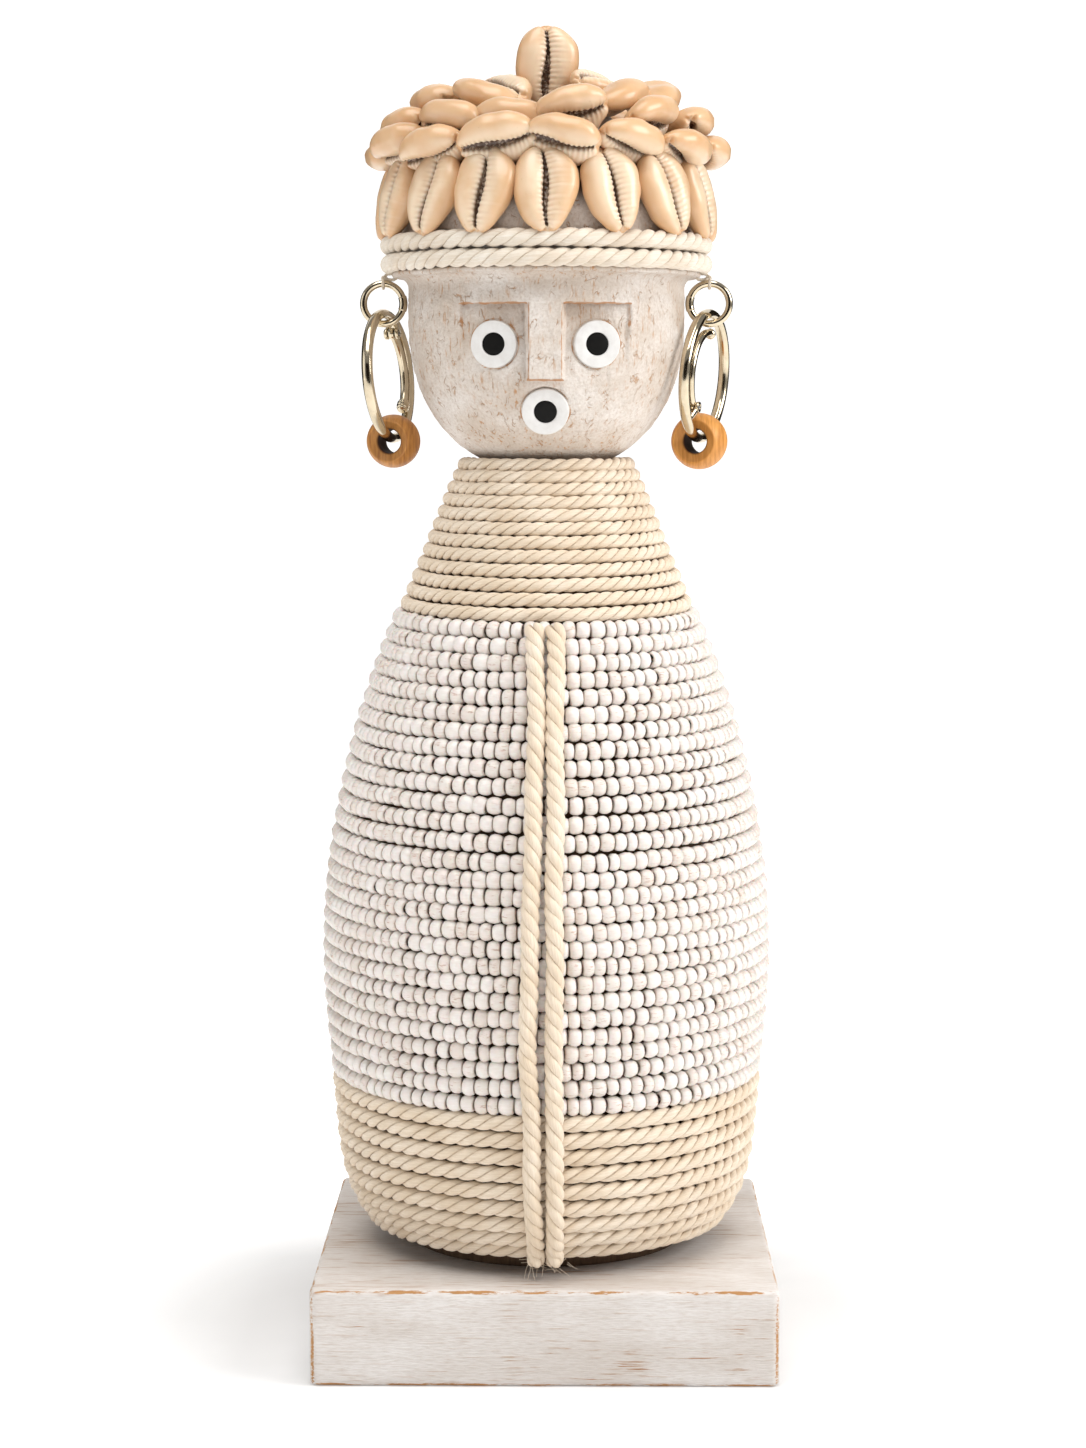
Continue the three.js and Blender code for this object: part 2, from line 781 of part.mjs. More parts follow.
const tierZ = (tier) => coneTopZ + tier * tierRise;
piece('cowrie_tier_outer', gluedTier(0, outerCowries), shellGloss).position.z = tierZ(0);
piece('cowrie_tier_middle', gluedTier(1, middleCowries), shellGloss).position.z = tierZ(1);
for (let shell = 0; shell < upperCowries; shell += 1) {
  const mesh = piece(`upper_cowrie_${shell + 1}`, petal(2), shellGloss);
  mesh.position.z = tierZ(2);
  mesh.rotation.z = petalTurn(2, shell, upperCowries);
}
piece('top_cowrie', cowrie(topCowrieLength, cowrieWidth, topCowrieThickness), shellGloss)
  .position.z = tierZ(2) + topCowrieLength / 2;

// Earrings

// Thread loop: through the hole in the lip, round its edge and under the top of the ring, in a
// twisted closed path
function threadLoop(side) {
  const slack = ringWireRadius + clearance + threadRadius;
  const hole = lipRadius - threadHoleInset;
  const edge = lipRadius + 2 * clearance + threadRadius;
  const over = headTopZ - threadRadius;
  const points = [
    [hole, 0, underLipZ - 0.6],
    [hole, 0, over - 0.6],
    [hole + 0.5, 0, over],
    [edge - 0.5, 0, over],
    [edge, 0, over - 0.9],
    [earringOffset + 0.2, -slack * 0.8, ringTopZ + 0.7],
    [earringOffset, -slack, ringTopZ - 0.3],
    [earringOffset, 0, ringTopZ - slack],
    [earringOffset, slack, ringTopZ - 0.3],
    [earringOffset - 0.6, slack * 0.85, underLipZ - 0.6],
  ].map(([x, y, z]) => new THREE.Vector3(side * x, y, z));
  const path = new THREE.CatmullRomCurve3(points, true, 'centripetal');
  const steps = 20;
  const frames = path.computeFrenetFrames(steps, true);
  const rows = Array.from({ length: steps }, (_, step) => roundSection(
    path.getPointAt(step / steps), frames.normals[step], frames.binormals[step], threadRadius, 4));
  return skin(rows, true);
}

// Small round bar along X
const crossBar = (radius, width, steps = 10) =>
  turned([[0, -width / 2], [radius, -width / 2], [radius, width / 2], [0, width / 2]], steps)
    .rotateY(Math.PI / 2);

// Point in the hoop's plane, seen from the hoop's centre
const onHoop = (radius, angle) =>
  new THREE.Vector3(0, radius * Math.sin(degrees(angle)), radius * Math.cos(degrees(angle)));

// The clip's arm follows the hoop on its inside, from the eye at its pin to the ribbed pad
const armReach = hoopRadius - hoopTubeRadius - clipTubeRadius;
const clips = {
  left: { armRadius: armReach - leftClipGap, eye: 27, pad: 128 },
  right: { armRadius: armReach - rightClipGap, eye: -136, pad: 12 },
};

function clipEars({ armRadius, eye }) {
  const place = onHoop(armRadius, eye);
  const offset = clipEyeWidth / 2 + clearance + clipEarWidth / 2;
  return [-1, 1].map((side) => {
    const bridge = new THREE.BoxGeometry(clipEarWidth, 1.6 * clipEyeRadius, hoopRadius - armRadius)
      .translate(0, 0, (hoopRadius + armRadius) / 2)
      .rotateX(-degrees(eye));
    const ear = join(crossBar(clipEyeRadius, clipEarWidth).translate(...place.toArray()), bridge);
    return cut(ear, crossBar(clipPinRadius + clearance, 3 * clipEarWidth).translate(...place.toArray()))
      .translate(side * offset, 0, 0);
  });
}

function hoop(clip) {
  return join(arcWire(hoopRadius, hoopTubeRadius, 0, 360, 26, 6), ...clipEars(clip));
}

function clipArm({ armRadius, eye, pad }) {
  const arm = arcWire(armRadius, clipTubeRadius, eye, pad, 10, 6);
  const flat = crossBar(clipEyeRadius, clipEyeWidth).translate(...onHoop(armRadius, eye).toArray());
  const toe = new THREE.SphereGeometry(clipPadRadius, 8, 6).translate(...onHoop(armRadius, pad).toArray());
  // The arm is thinned beside the ears
  const ears = [-1, 1].map((side) => crossBar(clipEyeRadius + clearance, 3)
    .translate(side * (clipEyeWidth / 2 + 1.5), 0, 0)
    .translate(...onHoop(armRadius, eye).toArray()));
  const whole = join(cut(arm, ...ears), flat, toe);
  return cut(whole, crossBar(clipPinRadius + clearance, 3 * clipEyeWidth)
    .translate(...onHoop(armRadius, eye).toArray()));
}

const clipPinLength = clipEyeWidth + 2 * clearance + 2 * clipEarWidth;

function woodBead(radius) {
  const half = woodBeadThickness / 2;
  const profile = [];
  const rings = 5;
  for (let ring = 0; ring <= rings; ring += 1) {
    const height = -half + (woodBeadThickness * ring) / rings;
    const round = Math.sqrt(1 - (0.72 * height / half) ** 2);
    profile.push([radius * round, height]);
  }
  const mouth = woodBeadHole + 0.9;
  profile.push([mouth, half], [woodBeadHole, half - 1.3], [woodBeadHole, -half + 1.3], [mouth, -half]);
  profile.push(profile[0]);
  return turned(profile, 18).rotateX(Math.PI / 2);
}

function earring(name, side, turn, beadRadius, beadMaterial) {
  const clip = clips[name];
  piece(`thread_loop_${name}`, threadLoop(side), thread);
  const ringCentreZ = ringTopZ - ringRadius;
  piece(`ear_ring_${name}`, arcWire(ringRadius, ringWireRadius, 0, 360, 20, 6).rotateZ(Math.PI / 2), paleGold)
    .position.set(side * earringOffset, 0, ringCentreZ);
  const hoopTopZ = ringCentreZ - ringRadius + ringWireRadius + clearance + hoopTubeRadius;
  const hangingPoint = new THREE.Group();
  hangingPoint.position.set(side * earringOffset, 0, hoopTopZ);
  hangingPoint.rotation.set(0, side * degrees(hoopLean), -degrees(turn), 'ZYX');
  doll.add(hangingPoint);
  const hoopGroup = new THREE.Group();
  hoopGroup.position.z = -hoopRadius;
  hangingPoint.add(hoopGroup);
  piece(`hoop_${name}`, hoop(clip), paleGold, hoopGroup);
  piece(`hoop_clip_${name}`, clipArm(clip), paleGold, hoopGroup);
  piece(`clip_pin_${name}`, crossBar(clipPinRadius, clipPinLength), steel, hoopGroup)
    .position.copy(onHoop(clip.armRadius, clip.eye));
  piece(`wood_bead_${name}`, woodBead(beadRadius), beadMaterial, hoopGroup)
    .position.z = -hoopRadius - woodBeadSag;
}

earring('left', -1, leftHoopTurn, leftWoodBeadRadius, leftBeadWood);
earring('right', 1, rightHoopTurn, rightWoodBeadRadius, rightBeadWood);

export default doll;
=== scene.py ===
# Namji doll: rope, strung beads, whitewashed wood, cowrie shells and hoop earrings.
# Lengths are in millimetres up to the moment a mesh is made, and the doll faces -Y.

import functools
import json
import math
import bpy
import numpy as np
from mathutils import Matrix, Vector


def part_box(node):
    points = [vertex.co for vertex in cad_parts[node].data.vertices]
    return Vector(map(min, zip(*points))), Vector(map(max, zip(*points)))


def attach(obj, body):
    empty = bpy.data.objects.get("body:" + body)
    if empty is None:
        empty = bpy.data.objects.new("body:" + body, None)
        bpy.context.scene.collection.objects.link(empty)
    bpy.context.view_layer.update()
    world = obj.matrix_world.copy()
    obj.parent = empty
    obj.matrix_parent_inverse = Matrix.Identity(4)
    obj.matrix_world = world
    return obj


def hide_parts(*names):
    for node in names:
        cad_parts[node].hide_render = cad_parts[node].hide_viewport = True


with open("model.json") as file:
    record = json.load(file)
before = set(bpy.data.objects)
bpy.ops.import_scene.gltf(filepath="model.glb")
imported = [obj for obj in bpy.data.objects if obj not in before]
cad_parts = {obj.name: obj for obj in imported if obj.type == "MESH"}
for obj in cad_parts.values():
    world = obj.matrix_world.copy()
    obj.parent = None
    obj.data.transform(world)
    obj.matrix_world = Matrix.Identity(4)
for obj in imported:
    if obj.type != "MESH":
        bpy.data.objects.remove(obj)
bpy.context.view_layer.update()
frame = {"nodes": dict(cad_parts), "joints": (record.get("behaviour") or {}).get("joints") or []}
mm = 0.001
joints = {joint["name"]: joint for joint in frame["joints"]}
print("frame loaded:", len(frame["nodes"]), "nodes")


# Small tools

def linear(hexColour):
    # sRGB hex text to the linear red, green, blue and alpha that shaders take
    channels = np.array([int(hexColour[i:i + 2], 16) for i in (1, 3, 5)]) / 255
    levels = np.where(channels <= 0.04045, channels / 12.92, ((channels + 0.055) / 1.055) ** 2.4)
    return (*levels.tolist(), 1.0)


def cadBoxOf(node):
    # lowest and highest corner of a CAD node, in millimetres
    low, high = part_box(node)
    return np.array(low) / mm, np.array(high) / mm


def cadPoints(node):
    # the vertices of a CAD node, in millimetres
    mesh = frame["nodes"][node].data
    flat = np.empty(len(mesh.vertices) * 3, np.float32)
    mesh.vertices.foreach_get("co", flat)
    return flat.reshape(-1, 3).astype(float) / mm


def unit(vectors):
    return vectors / np.linalg.norm(vectors, axis=-1, keepdims=True)


def squareTo(tangent, normal):
    # the share of a normal that is square to a tangent, one long
    return unit(normal - np.sum(normal * tangent, -1, keepdims=True) * tangent)


def smoothStep(value, low, high):
    # 0 below low, 1 above high and an even S between them
    t = np.clip((value - low) / (high - low), 0, 1)
    return t * t * (3 - 2 * t)


def bell(offset, width):
    # 1 at no offset and falling away to both sides: e to the power -(offset / width) squared
    return np.exp(-(offset / width) ** 2)


def circle(count):
    # even angles once round, in radians
    return np.linspace(0, 2 * np.pi, count, endpoint=False)


def sweep(start, end, count):
    # even angles from start to end: degrees in, radians out
    return np.radians(np.linspace(start, end, count))


def around(radius, angle, height):
    # points round Z, whose angles begin at the doll's front and grow to the right
    return np.stack([radius * np.sin(angle), -radius * np.cos(angle), height], -1)


def ripple(seed, wavelength, *coordinates, waves=7):
    # irregular smooth value of about -1 to 1: sine waves of like length in scattered directions, added up
    rng = np.random.default_rng(seed)
    total = 0
    for wave in range(waves):
        direction = unit(rng.normal(size=len(coordinates)))
        turnsPerUnit = rng.uniform(0.7, 1.4) / wavelength
        along = sum(part * share for part, share in zip(coordinates, direction))
        total = total + np.sin(2 * np.pi * (along * turnsPerUnit + rng.uniform()))
    return total / math.sqrt(waves) / 1.2


def spun(vectors, axis, degrees):
    # vectors turned about a unit axis by the right-hand rule
    angle = math.radians(degrees)
    along = (vectors @ axis)[..., None] * axis
    return along + (vectors - along) * np.cos(angle) + np.cross(axis, vectors) * np.sin(angle)


def grid(points, wrapRows=False, wrapColumns=True, capStart=False, capEnd=False, **values):
    # a surface over rows x columns of points; an end is capped by triangles to the middle of its row
    rows, columns = points.shape[:2]
    i, j = np.meshgrid(np.arange(rows if wrapRows else rows - 1),
                       np.arange(columns if wrapColumns else columns - 1), indexing="ij")
    nextRow, nextColumn = (i + 1) % rows, (j + 1) % columns
    quads = np.stack([i * columns + j, i * columns + nextColumn,
                      nextRow * columns + nextColumn, nextRow * columns + j], -1).reshape(-1, 4)
    flat = points.reshape(-1, 3)
    kept = {name: np.asarray(v, float).reshape(rows * columns, -1) for name, v in values.items()}
    triangles = []
    j = np.arange(columns)
    for cap, row, order in ((capStart, 0, 1), (capEnd, rows - 1, -1)):
        if cap:
            middle, edge = len(flat), row * columns
            flat = np.vstack([flat, points[row].mean(0)])
            kept = {name: np.vstack([v, v[edge:edge + columns].mean(0)]) for name, v in kept.items()}
            triangles.append(np.stack([edge + (j + 1) % columns, edge + j,
                                       np.full(columns, middle)], -1)[:, ::order])
    return {"points": flat, "quads": quads, "values": kept,
            "triangles": np.vstack(triangles) if triangles else np.zeros((0, 3), int)}


def joined(shapes):
    # several shapes as one, with their corner numbers moved along
    starts = np.cumsum([0] + [len(shape["points"]) for shape in shapes])
    whole = {part: np.vstack([shape[part] + start for shape, start in zip(shapes, starts)])
             for part in ("quads", "triangles")}
    return {**whole, "points": np.vstack([shape["points"] for shape in shapes]),
            "values": {name: np.vstack([shape["values"][name] for shape in shapes])
                       for name in shapes[0]["values"]}}


def lathe(profile, steps=96, ring=False, **values):
    # a profile of [radius, height] rows turned about Z, with both ends capped or the two joined as a ring
    profile = np.asarray(profile, float)
    points = around(profile[:, :1], circle(steps), np.repeat(profile[:, 1:], steps, 1))
    spread = {name: np.repeat(np.asarray(v, float)[:, None], steps, 1) for name, v in values.items()}
    return grid(points, wrapRows=ring, capStart=not ring, capEnd=not ring, **spread)


def arc(centreRadius, centreHeight, radius, start, end, count):
    # points of a quarter or other part of a circle, for a lathe's profile; angles in degrees from +radius
    angle = sweep(start, end, count)
    return np.stack([centreRadius + radius * np.cos(angle), centreHeight + radius * np.sin(angle)], -1)


def placed(shape, right, back, up, centre):
    # a shape whose own X, Y and Z go to three directions, moved to a centre
    turn = np.array([right, back, up], float)
    return {**shape, "points": shape["points"] @ turn + np.asarray(centre, float)}


def tube(path, normal, across, up, sides=12, closed=False):
    # an oval carried along a path: across and up are its half sizes beside and along the normal
    tangent = unit(np.roll(path, -1, 0) - np.roll(path, 1, 0) if closed else np.gradient(path, axis=0))
    normal = squareTo(tangent, normal)
    side = np.cross(tangent, normal)
    angle = circle(sides)[None, :, None]
    ring = across * np.sin(angle) * side[:, None] + up * np.cos(angle) * normal[:, None]
    return grid(path[:, None] + ring, wrapRows=closed, capStart=not closed, capEnd=not closed)


def addObject(name, data):
    thing = bpy.data.objects.new(name, data)
    bpy.context.scene.collection.objects.link(thing)
    return thing


def addNode(tree, kind, values=(), output=0, **settings):
    # one shader node with its settings and links, given back as the output that is wanted; a value is a
    # number, a hex colour or another node's output, by the input's name or number
    node = tree.nodes.new("ShaderNode" + kind)
    for name, setting in settings.items():
        setattr(node, name, setting)
    for name, value in dict(values).items():
        if isinstance(value, bpy.types.NodeSocket):
            tree.links.new(value, node.inputs[name])
        else:
            node.inputs[name].default_value = linear(value) if isinstance(value, str) else value
    return node.outputs[output]


def newMaterial(name, roughness, patterns=(), marks=(), **sockets):
    # A Principled surface with its fixed values set on its own sockets. Each pattern is a cloudy noise on
    # Object coordinates, with its size in millimetres along X, Y and Z and its own settings. Each mark is
    # a value that the piece carries at its points. Both come back in their order, after addNode for it.
    material = bpy.data.materials.new(name)
    material.use_nodes = True
    add = functools.partial(addNode, material.node_tree)
    shader = material.node_tree.nodes["Principled BSDF"]
    for socket, value in {"Roughness": roughness, **sockets}.items():
        shader.inputs[socket.replace("_", " ")].default_value = value
    made = []
    for size, own, *move in patterns:
        scale = [1 / (length * mm) for length in size]
        place = {"Vector": add("TexCoord", output="Object"), "Scale": scale}
        place = add("Mapping", {**place, "Location": move[0]} if move else place)
        made.append(add("TexNoise", {"Vector": place, "Scale": 1.0, **own}))
    made += [add("Attribute", output="Fac", attribute_name=mark) for mark in marks]
    return (material, add, *made)


def finished(material, colour, layers=(), relief=None, depth=0.0, **links):
    # a base colour under layers of a mask and a colour each, and a relief that is a depth in mm high
    tree = material.node_tree
    for mask, tone in layers:
        colour = addNode(tree, "Mix", {"Factor": mask, 6: colour, 7: tone}, 2, data_type="RGBA")
    links["Base_Color"] = colour
    if relief:
        links["Normal"] = addNode(tree, "Bump", {"Height": relief, "Strength": 1.0, "Distance": depth * mm})
    for socket, output in links.items():
        tree.links.new(output, tree.nodes["Principled BSDF"].inputs[socket.replace("_", " ")])
    return material


def addPiece(name, shape, slotName, *nodes, body="root"):
    # a mesh object in place, on its body, that stands for CAD nodes and takes its finish from its slot
    mesh = bpy.data.meshes.new(name)
    mesh.vertices.add(len(shape["points"]))
    mesh.vertices.foreach_set("co", (shape["points"] * mm).ravel())
    corners = np.concatenate([shape["quads"].ravel(), shape["triangles"].ravel()])
    sizes = np.repeat([4, 3], [len(shape["quads"]), len(shape["triangles"])])
    mesh.loops.add(len(corners))
    mesh.loops.foreach_set("vertex_index", corners)
    mesh.polygons.add(len(sizes))
    mesh.polygons.foreach_set("loop_start", np.cumsum(sizes) - sizes)
    mesh.polygons.foreach_set("use_smooth", np.ones(len(sizes), bool))
    for label, value in shape["values"].items():
        single = value.shape[1] == 1
        attribute = mesh.attributes.new(label, "FLOAT" if single else "FLOAT_VECTOR", "POINT")
        attribute.data.foreach_set("value" if single else "vector", value.ravel())
    mesh.update(calc_edges=True)
    mesh.materials.append(finishes[slotName])
    piece = addObject(name, mesh)
    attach(piece, body)
    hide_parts(*nodes)


# Camera and stage

camera = {
    "place": (6.8, -831.9, 245.4),  # mm, about seven body widths in front of the doll
    "lookDown": 5.58, "turnLeft": 0.53,  # degrees
    "lens": 77.2, "filmHeight": 36.0,
}
light = {
    "room": 0.29,  # even white light from all round
    "floor": 0.14, "wall": 0.62,  # light of the backdrop itself, under the doll and away from it
    "aim": (0, 0, 170),  # what the lamps look at
    "key": {"place": (1250, -450, 850), "size": 800, "power": 14.7},
    "fill": {"place": (-1300, -450, 500), "size": 900, "power": 2.6},
    "top": {"place": (-60, -420, 1250), "size": 900, "power": 10.0},
    # black cards that only gloss sees, as two ends on the floor plan, and their lower and upper edge
    "cards": {"behindCamera": ((-900, -1500), (900, -1500)), "farLeft": ((-1500, 300), (-350, 1400)),
              "farRight": ((350, 1400), (1500, 300))},
    "cardEdges": (-300, 900),
}
backdrop = {
    "reach": 3000, "wallAt": 1600, "bend": 900, "wallHeight": 3200,
    "near": 320,  # the floor is meshed finely this far round the doll
    "darkTo": 70, "brightFrom": 160,
}


def addLight(name, place, size, power):
    # a square lamp that looks at the doll's middle
    lamp = bpy.data.lights.new(name, "AREA")
    lamp.size = size * mm
    lamp.energy = power
    thing = addObject(name, lamp)
    thing.location = np.array(place) * mm
    aim = np.array(light["aim"]) - np.array(place)
    thing.rotation_euler = (math.acos(-aim[2] / np.linalg.norm(aim)), 0,
                            math.atan2(aim[1], aim[0]) - math.pi / 2)


def addCamera():
    lens = bpy.data.cameras.new("studioCamera")
    lens.sensor_fit = "VERTICAL"
    lens.sensor_height = camera["filmHeight"]
    lens.lens = camera["lens"]
    lens.clip_end = 20
    thing = addObject("studioCamera", lens)
    thing.location = np.array(camera["place"]) * mm
    thing.rotation_euler = np.radians([90 - camera["lookDown"], 0, camera["turnLeft"]])
    bpy.context.scene.camera = thing


def addStageSheet(name, points, colour, glow=None):
    # a sheet of rows x columns of points that isn't part of the doll; glow is its own light at each point
    sheet = grid(points, wrapColumns=False)
    mesh = bpy.data.meshes.new(name)
    mesh.from_pydata((sheet["points"] * mm).tolist(), [], sheet["quads"].tolist())
    mesh.polygons.foreach_set("use_smooth", np.ones(len(mesh.polygons), bool))
    paper, add = newMaterial(name, 1.0, Base_Color=linear(colour), Specular_IOR_Level=0.0)
    if glow is not None:
        mesh.attributes.new("glow", "FLOAT", "POINT").data.foreach_set("value", glow.ravel())
        shader = paper.node_tree.nodes["Principled BSDF"]
        shader.inputs["Emission Color"].default_value = (1, 1, 1, 1)
        strength = add("Attribute", output="Fac", attribute_name="glow")
        paper.node_tree.links.new(strength, shader.inputs["Emission Strength"])
    mesh.materials.append(paper)
    thing = addObject(name, mesh)
    return thing


def addStage():
    # white paper: a floor that rolls up into a wall far behind the doll, brighter away from the doll
    reach, wallAt, bend = backdrop["reach"], backdrop["wallAt"], backdrop["bend"]
    turn = sweep(0, 90, 16)
    near = np.linspace(-backdrop["near"], backdrop["near"], 33)
    behind = np.concatenate([[-reach], near, [1100], wallAt + bend * np.sin(turn), [wallAt + bend]])
    rise = np.concatenate([np.zeros(35), bend * (1 - np.cos(turn)), [backdrop["wallHeight"]]])
    across = np.concatenate([[-reach], near, [reach]])
    points = np.stack(np.broadcast_arrays(across, behind[:, None], rise[:, None]), -1)
    away = smoothStep(np.hypot(points[..., 0], points[..., 1]), backdrop["darkTo"], backdrop["brightFrom"])
    glow = light["floor"] + (light["wall"] - light["floor"]) * away
    addStageSheet("paperBackdrop", points, "#DDDCDB", glow)
    for name, ends in light["cards"].items():
        corners = np.array([[[*end, z] for end in ends] for z in light["cardEdges"]])
        thing = addStageSheet("blackCard" + name, corners, "#1C1712")
        for way in ("camera", "diffuse", "shadow", "transmission", "volume_scatter"):
            setattr(thing, "visible_" + way, False)


def lightRoom():
    world = bpy.data.worlds.new("whiteRoom")
    bpy.context.scene.world = world
    world.use_nodes = True
    background = world.node_tree.nodes["Background"]
    background.inputs["Color"].default_value = (1, 1, 1, 1)
    background.inputs["Strength"].default_value = light["room"]
    for name in ("key", "fill", "top"):
        addLight(name + "Lamp", **light[name])
    bpy.context.scene.view_settings.view_transform = "Standard"
    bpy.context.scene.view_settings.look = "None"


addCamera()
addStage()
lightRoom()
print("camera, backdrop and lamps placed")


# Materials

soft = {"interpolation_type": "SMOOTHSTEP"}  # an even S from one end of a range to the other
# how finely a pattern is broken up
cloudlike = {"Detail": 3.0}
rough = {"Detail": 3.0, "Roughness": 0.6}
gritty = {"Detail": 4.0, "Roughness": 0.6}


def whitewashedPine():
    # Pine boards rubbed with thin white paint: chalky and cool, with hair-fine brown streaks where the
    # paint missed the grain, faint grey clouds, and bare orange wood along the worn edges.
    material, add, cloud, streak, fine, wear, grime = newMaterial("whitewashed pine", 0.6, [
        ((34, 16, 9), {"Detail": 4.0}),
        ((15, 0.75, 0.62), {"Detail": 5.0, "Roughness": 0.6}),
        ((2.8, 0.42, 0.36), gritty),
    ], ["wear", "grime"], Specular_IOR_Level=0.3)
    thin = add("MapRange", {"Value": cloud, "From Min": 0.35, "From Max": 0.65})
    grey = add("MapRange", {"Value": fine, "From Min": 0.42, "From Max": 0.75, "To Max": 0.55})
    missed = add("MapRange", {"Value": streak, "From Min": 0.57, "From Max": 0.66, "To Max": 0.9}, **soft)
    patch = add("MapRange", {"Value": cloud, "From Min": 0.42, "From Max": 0.6, "To Min": 0.22}, **soft)
    missed = add("Math", {0: missed, 1: patch}, operation="MULTIPLY")
    worn = add("Math", {0: wear, 1: 0.9, 2: fine}, operation="MULTIPLY_ADD")
    worn = add("MapRange", {"Value": worn, "From Min": 1.08, "From Max": 1.18}, **soft)
    # a brown ring round the hem, broken up by the streaks: painted shade under the doll, with some grime
    grime = add("Math", {0: grime, 1: streak}, operation="MULTIPLY")
    bare = add("Mix", {"Factor": streak, 6: "#9A6A3C", 7: "#CF9C66"}, 2, data_type="RGBA")
    relief = add("Math", {0: streak, 1: fine}, operation="ADD")
    layers = [(thin, "#D6CEC7"), (grey, "#BFB1A4"), (missed, "#A8794F"), (grime, "#8F745A"), (worn, bare)]
    return finished(material, "#E6E1DD", layers, relief, 0.16)


def whitewashedCarving():
    # Soft wood carved with a gouge, painted white and rubbed back: chalky, with short curled scratches
    # that show brown wood, a few vertical runs and dark specks, and brown lines on the cut edges.
    material, add, cloud, curl, patchy, run, grit, wear, grime = newMaterial("whitewashed carving", 0.6, [
        ((15, 15, 11), cloudlike),
        ((3.4, 3.4, 6.0), {"Detail": 3.0, "Distortion": 0.6}),
        ((2.4, 2.4, 3.2), {"Detail": 2.0}, (3, 5, 1)),
        ((0.9, 0.9, 5.5), gritty),
        ((0.7, 0.7, 0.7), gritty),
    ], ["wear", "grime"], Specular_IOR_Level=0.3)
    thin = add("MapRange", {"Value": cloud, "From Min": 0.35, "From Max": 0.65})
    grey = add("MapRange", {"Value": grit, "From Min": 0.42, "From Max": 0.75, "To Max": 0.5})
    # a scratch is a thin line of equal noise, kept only where a second noise is high
    line = add("Math", {0: curl, 1: 0.5}, operation="SUBTRACT")
    line = add("Math", {0: line}, operation="ABSOLUTE")
    line = add("MapRange", {"Value": line, "From Min": 0.02, "From Max": 0.004})
    keep = add("MapRange", {"Value": patchy, "From Min": 0.5, "From Max": 0.6})
    line = add("Math", {0: line, 1: keep}, operation="MULTIPLY")
    tint = add("Math", {0: line, 1: 0.7}, operation="MULTIPLY")
    missed = add("MapRange", {"Value": run, "From Min": 0.55, "From Max": 0.68, "To Max": 0.9}, **soft)
    missed = add("Math", {0: missed, 1: thin}, operation="MULTIPLY")
    worn = add("Math", {0: wear, 1: 1.0, 2: patchy}, operation="MULTIPLY_ADD")
    worn = add("MapRange", {"Value": worn, "From Min": 1.05, "From Max": 1.3, "To Max": 0.85}, **soft)
    relief = add("Math", {0: line, 1: -0.5, 2: grit}, operation="MULTIPLY_ADD")
    # the dark brown layer is painted shade, with some grime and glue, under the brow, beside the nose and
    # under the shells
    layers = [(thin, "#CDBFB1"), (grey, "#B39E8A"), (tint, "#AF8054"), (missed, "#B98758"),
              (grime, "#5A4634"), (worn, "#B57F50")]
    return finished(material, "#E2DAD2", layers, relief, 0.3)


def laidCotton(name, pale, tan, crease="#A88D70"):
    # Soft-laid cotton rope, undyed: matt, with fine yarns along the strands and shade where they meet.
    material, add, cloud, outward = newMaterial(
        name, 0.92, [((9, 9, 9), cloudlike)], ["outward"],
        Specular_IOR_Level=0.2, Sheen_Weight=0.25, Sheen_Roughness=0.5)
    fibre = add("Attribute", output="Vector", attribute_name="fibre")
    # about nine yarns show round a strand
    yarn = add("VectorMath", {0: fibre, 3: 4.5}, operation="SCALE")
    yarn = add("TexNoise", {"Vector": yarn, "Scale": 1.0, **rough})
    cloud = add("MapRange", {"Value": cloud, "From Min": 0.35, "From Max": 0.65})
    between = add("MapRange", {"Value": yarn, "From Min": 0.62, "From Max": 0.4, "To Max": 0.35})
    inner = add("MapRange", {"Value": outward, "From Min": 0.3, "From Max": -0.4, "To Max": 0.75}, **soft)
    return finished(material, pale, [(cloud, tan), (between, "#CBB496"), (inner, crease)], yarn, 0.12)


def boneBead():
    # Tumbled bone beads: off-white with a soft pearly gloss, brown in the holes and in a few pits and
    # short cracks along the middle.
    material, add, pit, tone, middle, hole = newMaterial(
        "tumbled bone", 0.38, [((2.2, 2.2, 0.5), rough)], ["tone", "middle", "end"],
        Coat_Weight=0.25, Coat_Roughness=0.3, Subsurface_Weight=0.12, Subsurface_Scale=1.0 * mm)
    pitted = add("MapRange", {"Value": pit, "From Min": 0.57, "From Max": 0.66, "To Max": 0.85}, **soft)
    pitted = add("Math", {0: pitted, 1: middle}, operation="MULTIPLY")
    # nearly half of the beads are clean
    unclean = add("MapRange", {"Value": tone, "From Min": 0.3, "From Max": 0.6})
    pitted = add("Math", {0: pitted, 1: unclean}, operation="MULTIPLY")
    cloudy = add("MapRange", {"Value": pit, "From Min": 0.3, "From Max": 0.6, "To Max": 0.3})
    layers = [(tone, "#E2D9D0"), (pitted, "#B08468"), (cloudy, "#D8C8BB"), (hole, "#B2927A")]
    return finished(material, "#EFEAE5", layers, pit, 0.03)


def oiledWood(name, dark, pale, roughness, ring):
    # Turned wood with a thin coat of wax: warm, with fine growth rings and short pores.
    material, add, grain, pore, bore = newMaterial(name, roughness, [
        ((ring, 9 * ring, 9 * ring), gritty),
        ((0.3 * ring, 3 * ring, 3 * ring), rough),
    ], ["bore"], Coat_Weight=0.06, Coat_Roughness=0.3)
    late = add("MapRange", {"Value": grain, "From Min": 0.35, "From Max": 0.68})
    gap = add("MapRange", {"Value": pore, "From Min": 0.6, "From Max": 0.78, "To Max": 0.3})
    # a drilled hole has no wax on it, so it is dull, and it is painted dark as the shade inside it
    dull = add("MapRange", {"Value": bore, "To Min": roughness, "To Max": 1.0})
    return finished(material, pale, [(late, dark), (gap, "#6A3F1E"), (bore, "#3A2112")], pore, 0.03,
                    Roughness=dull)


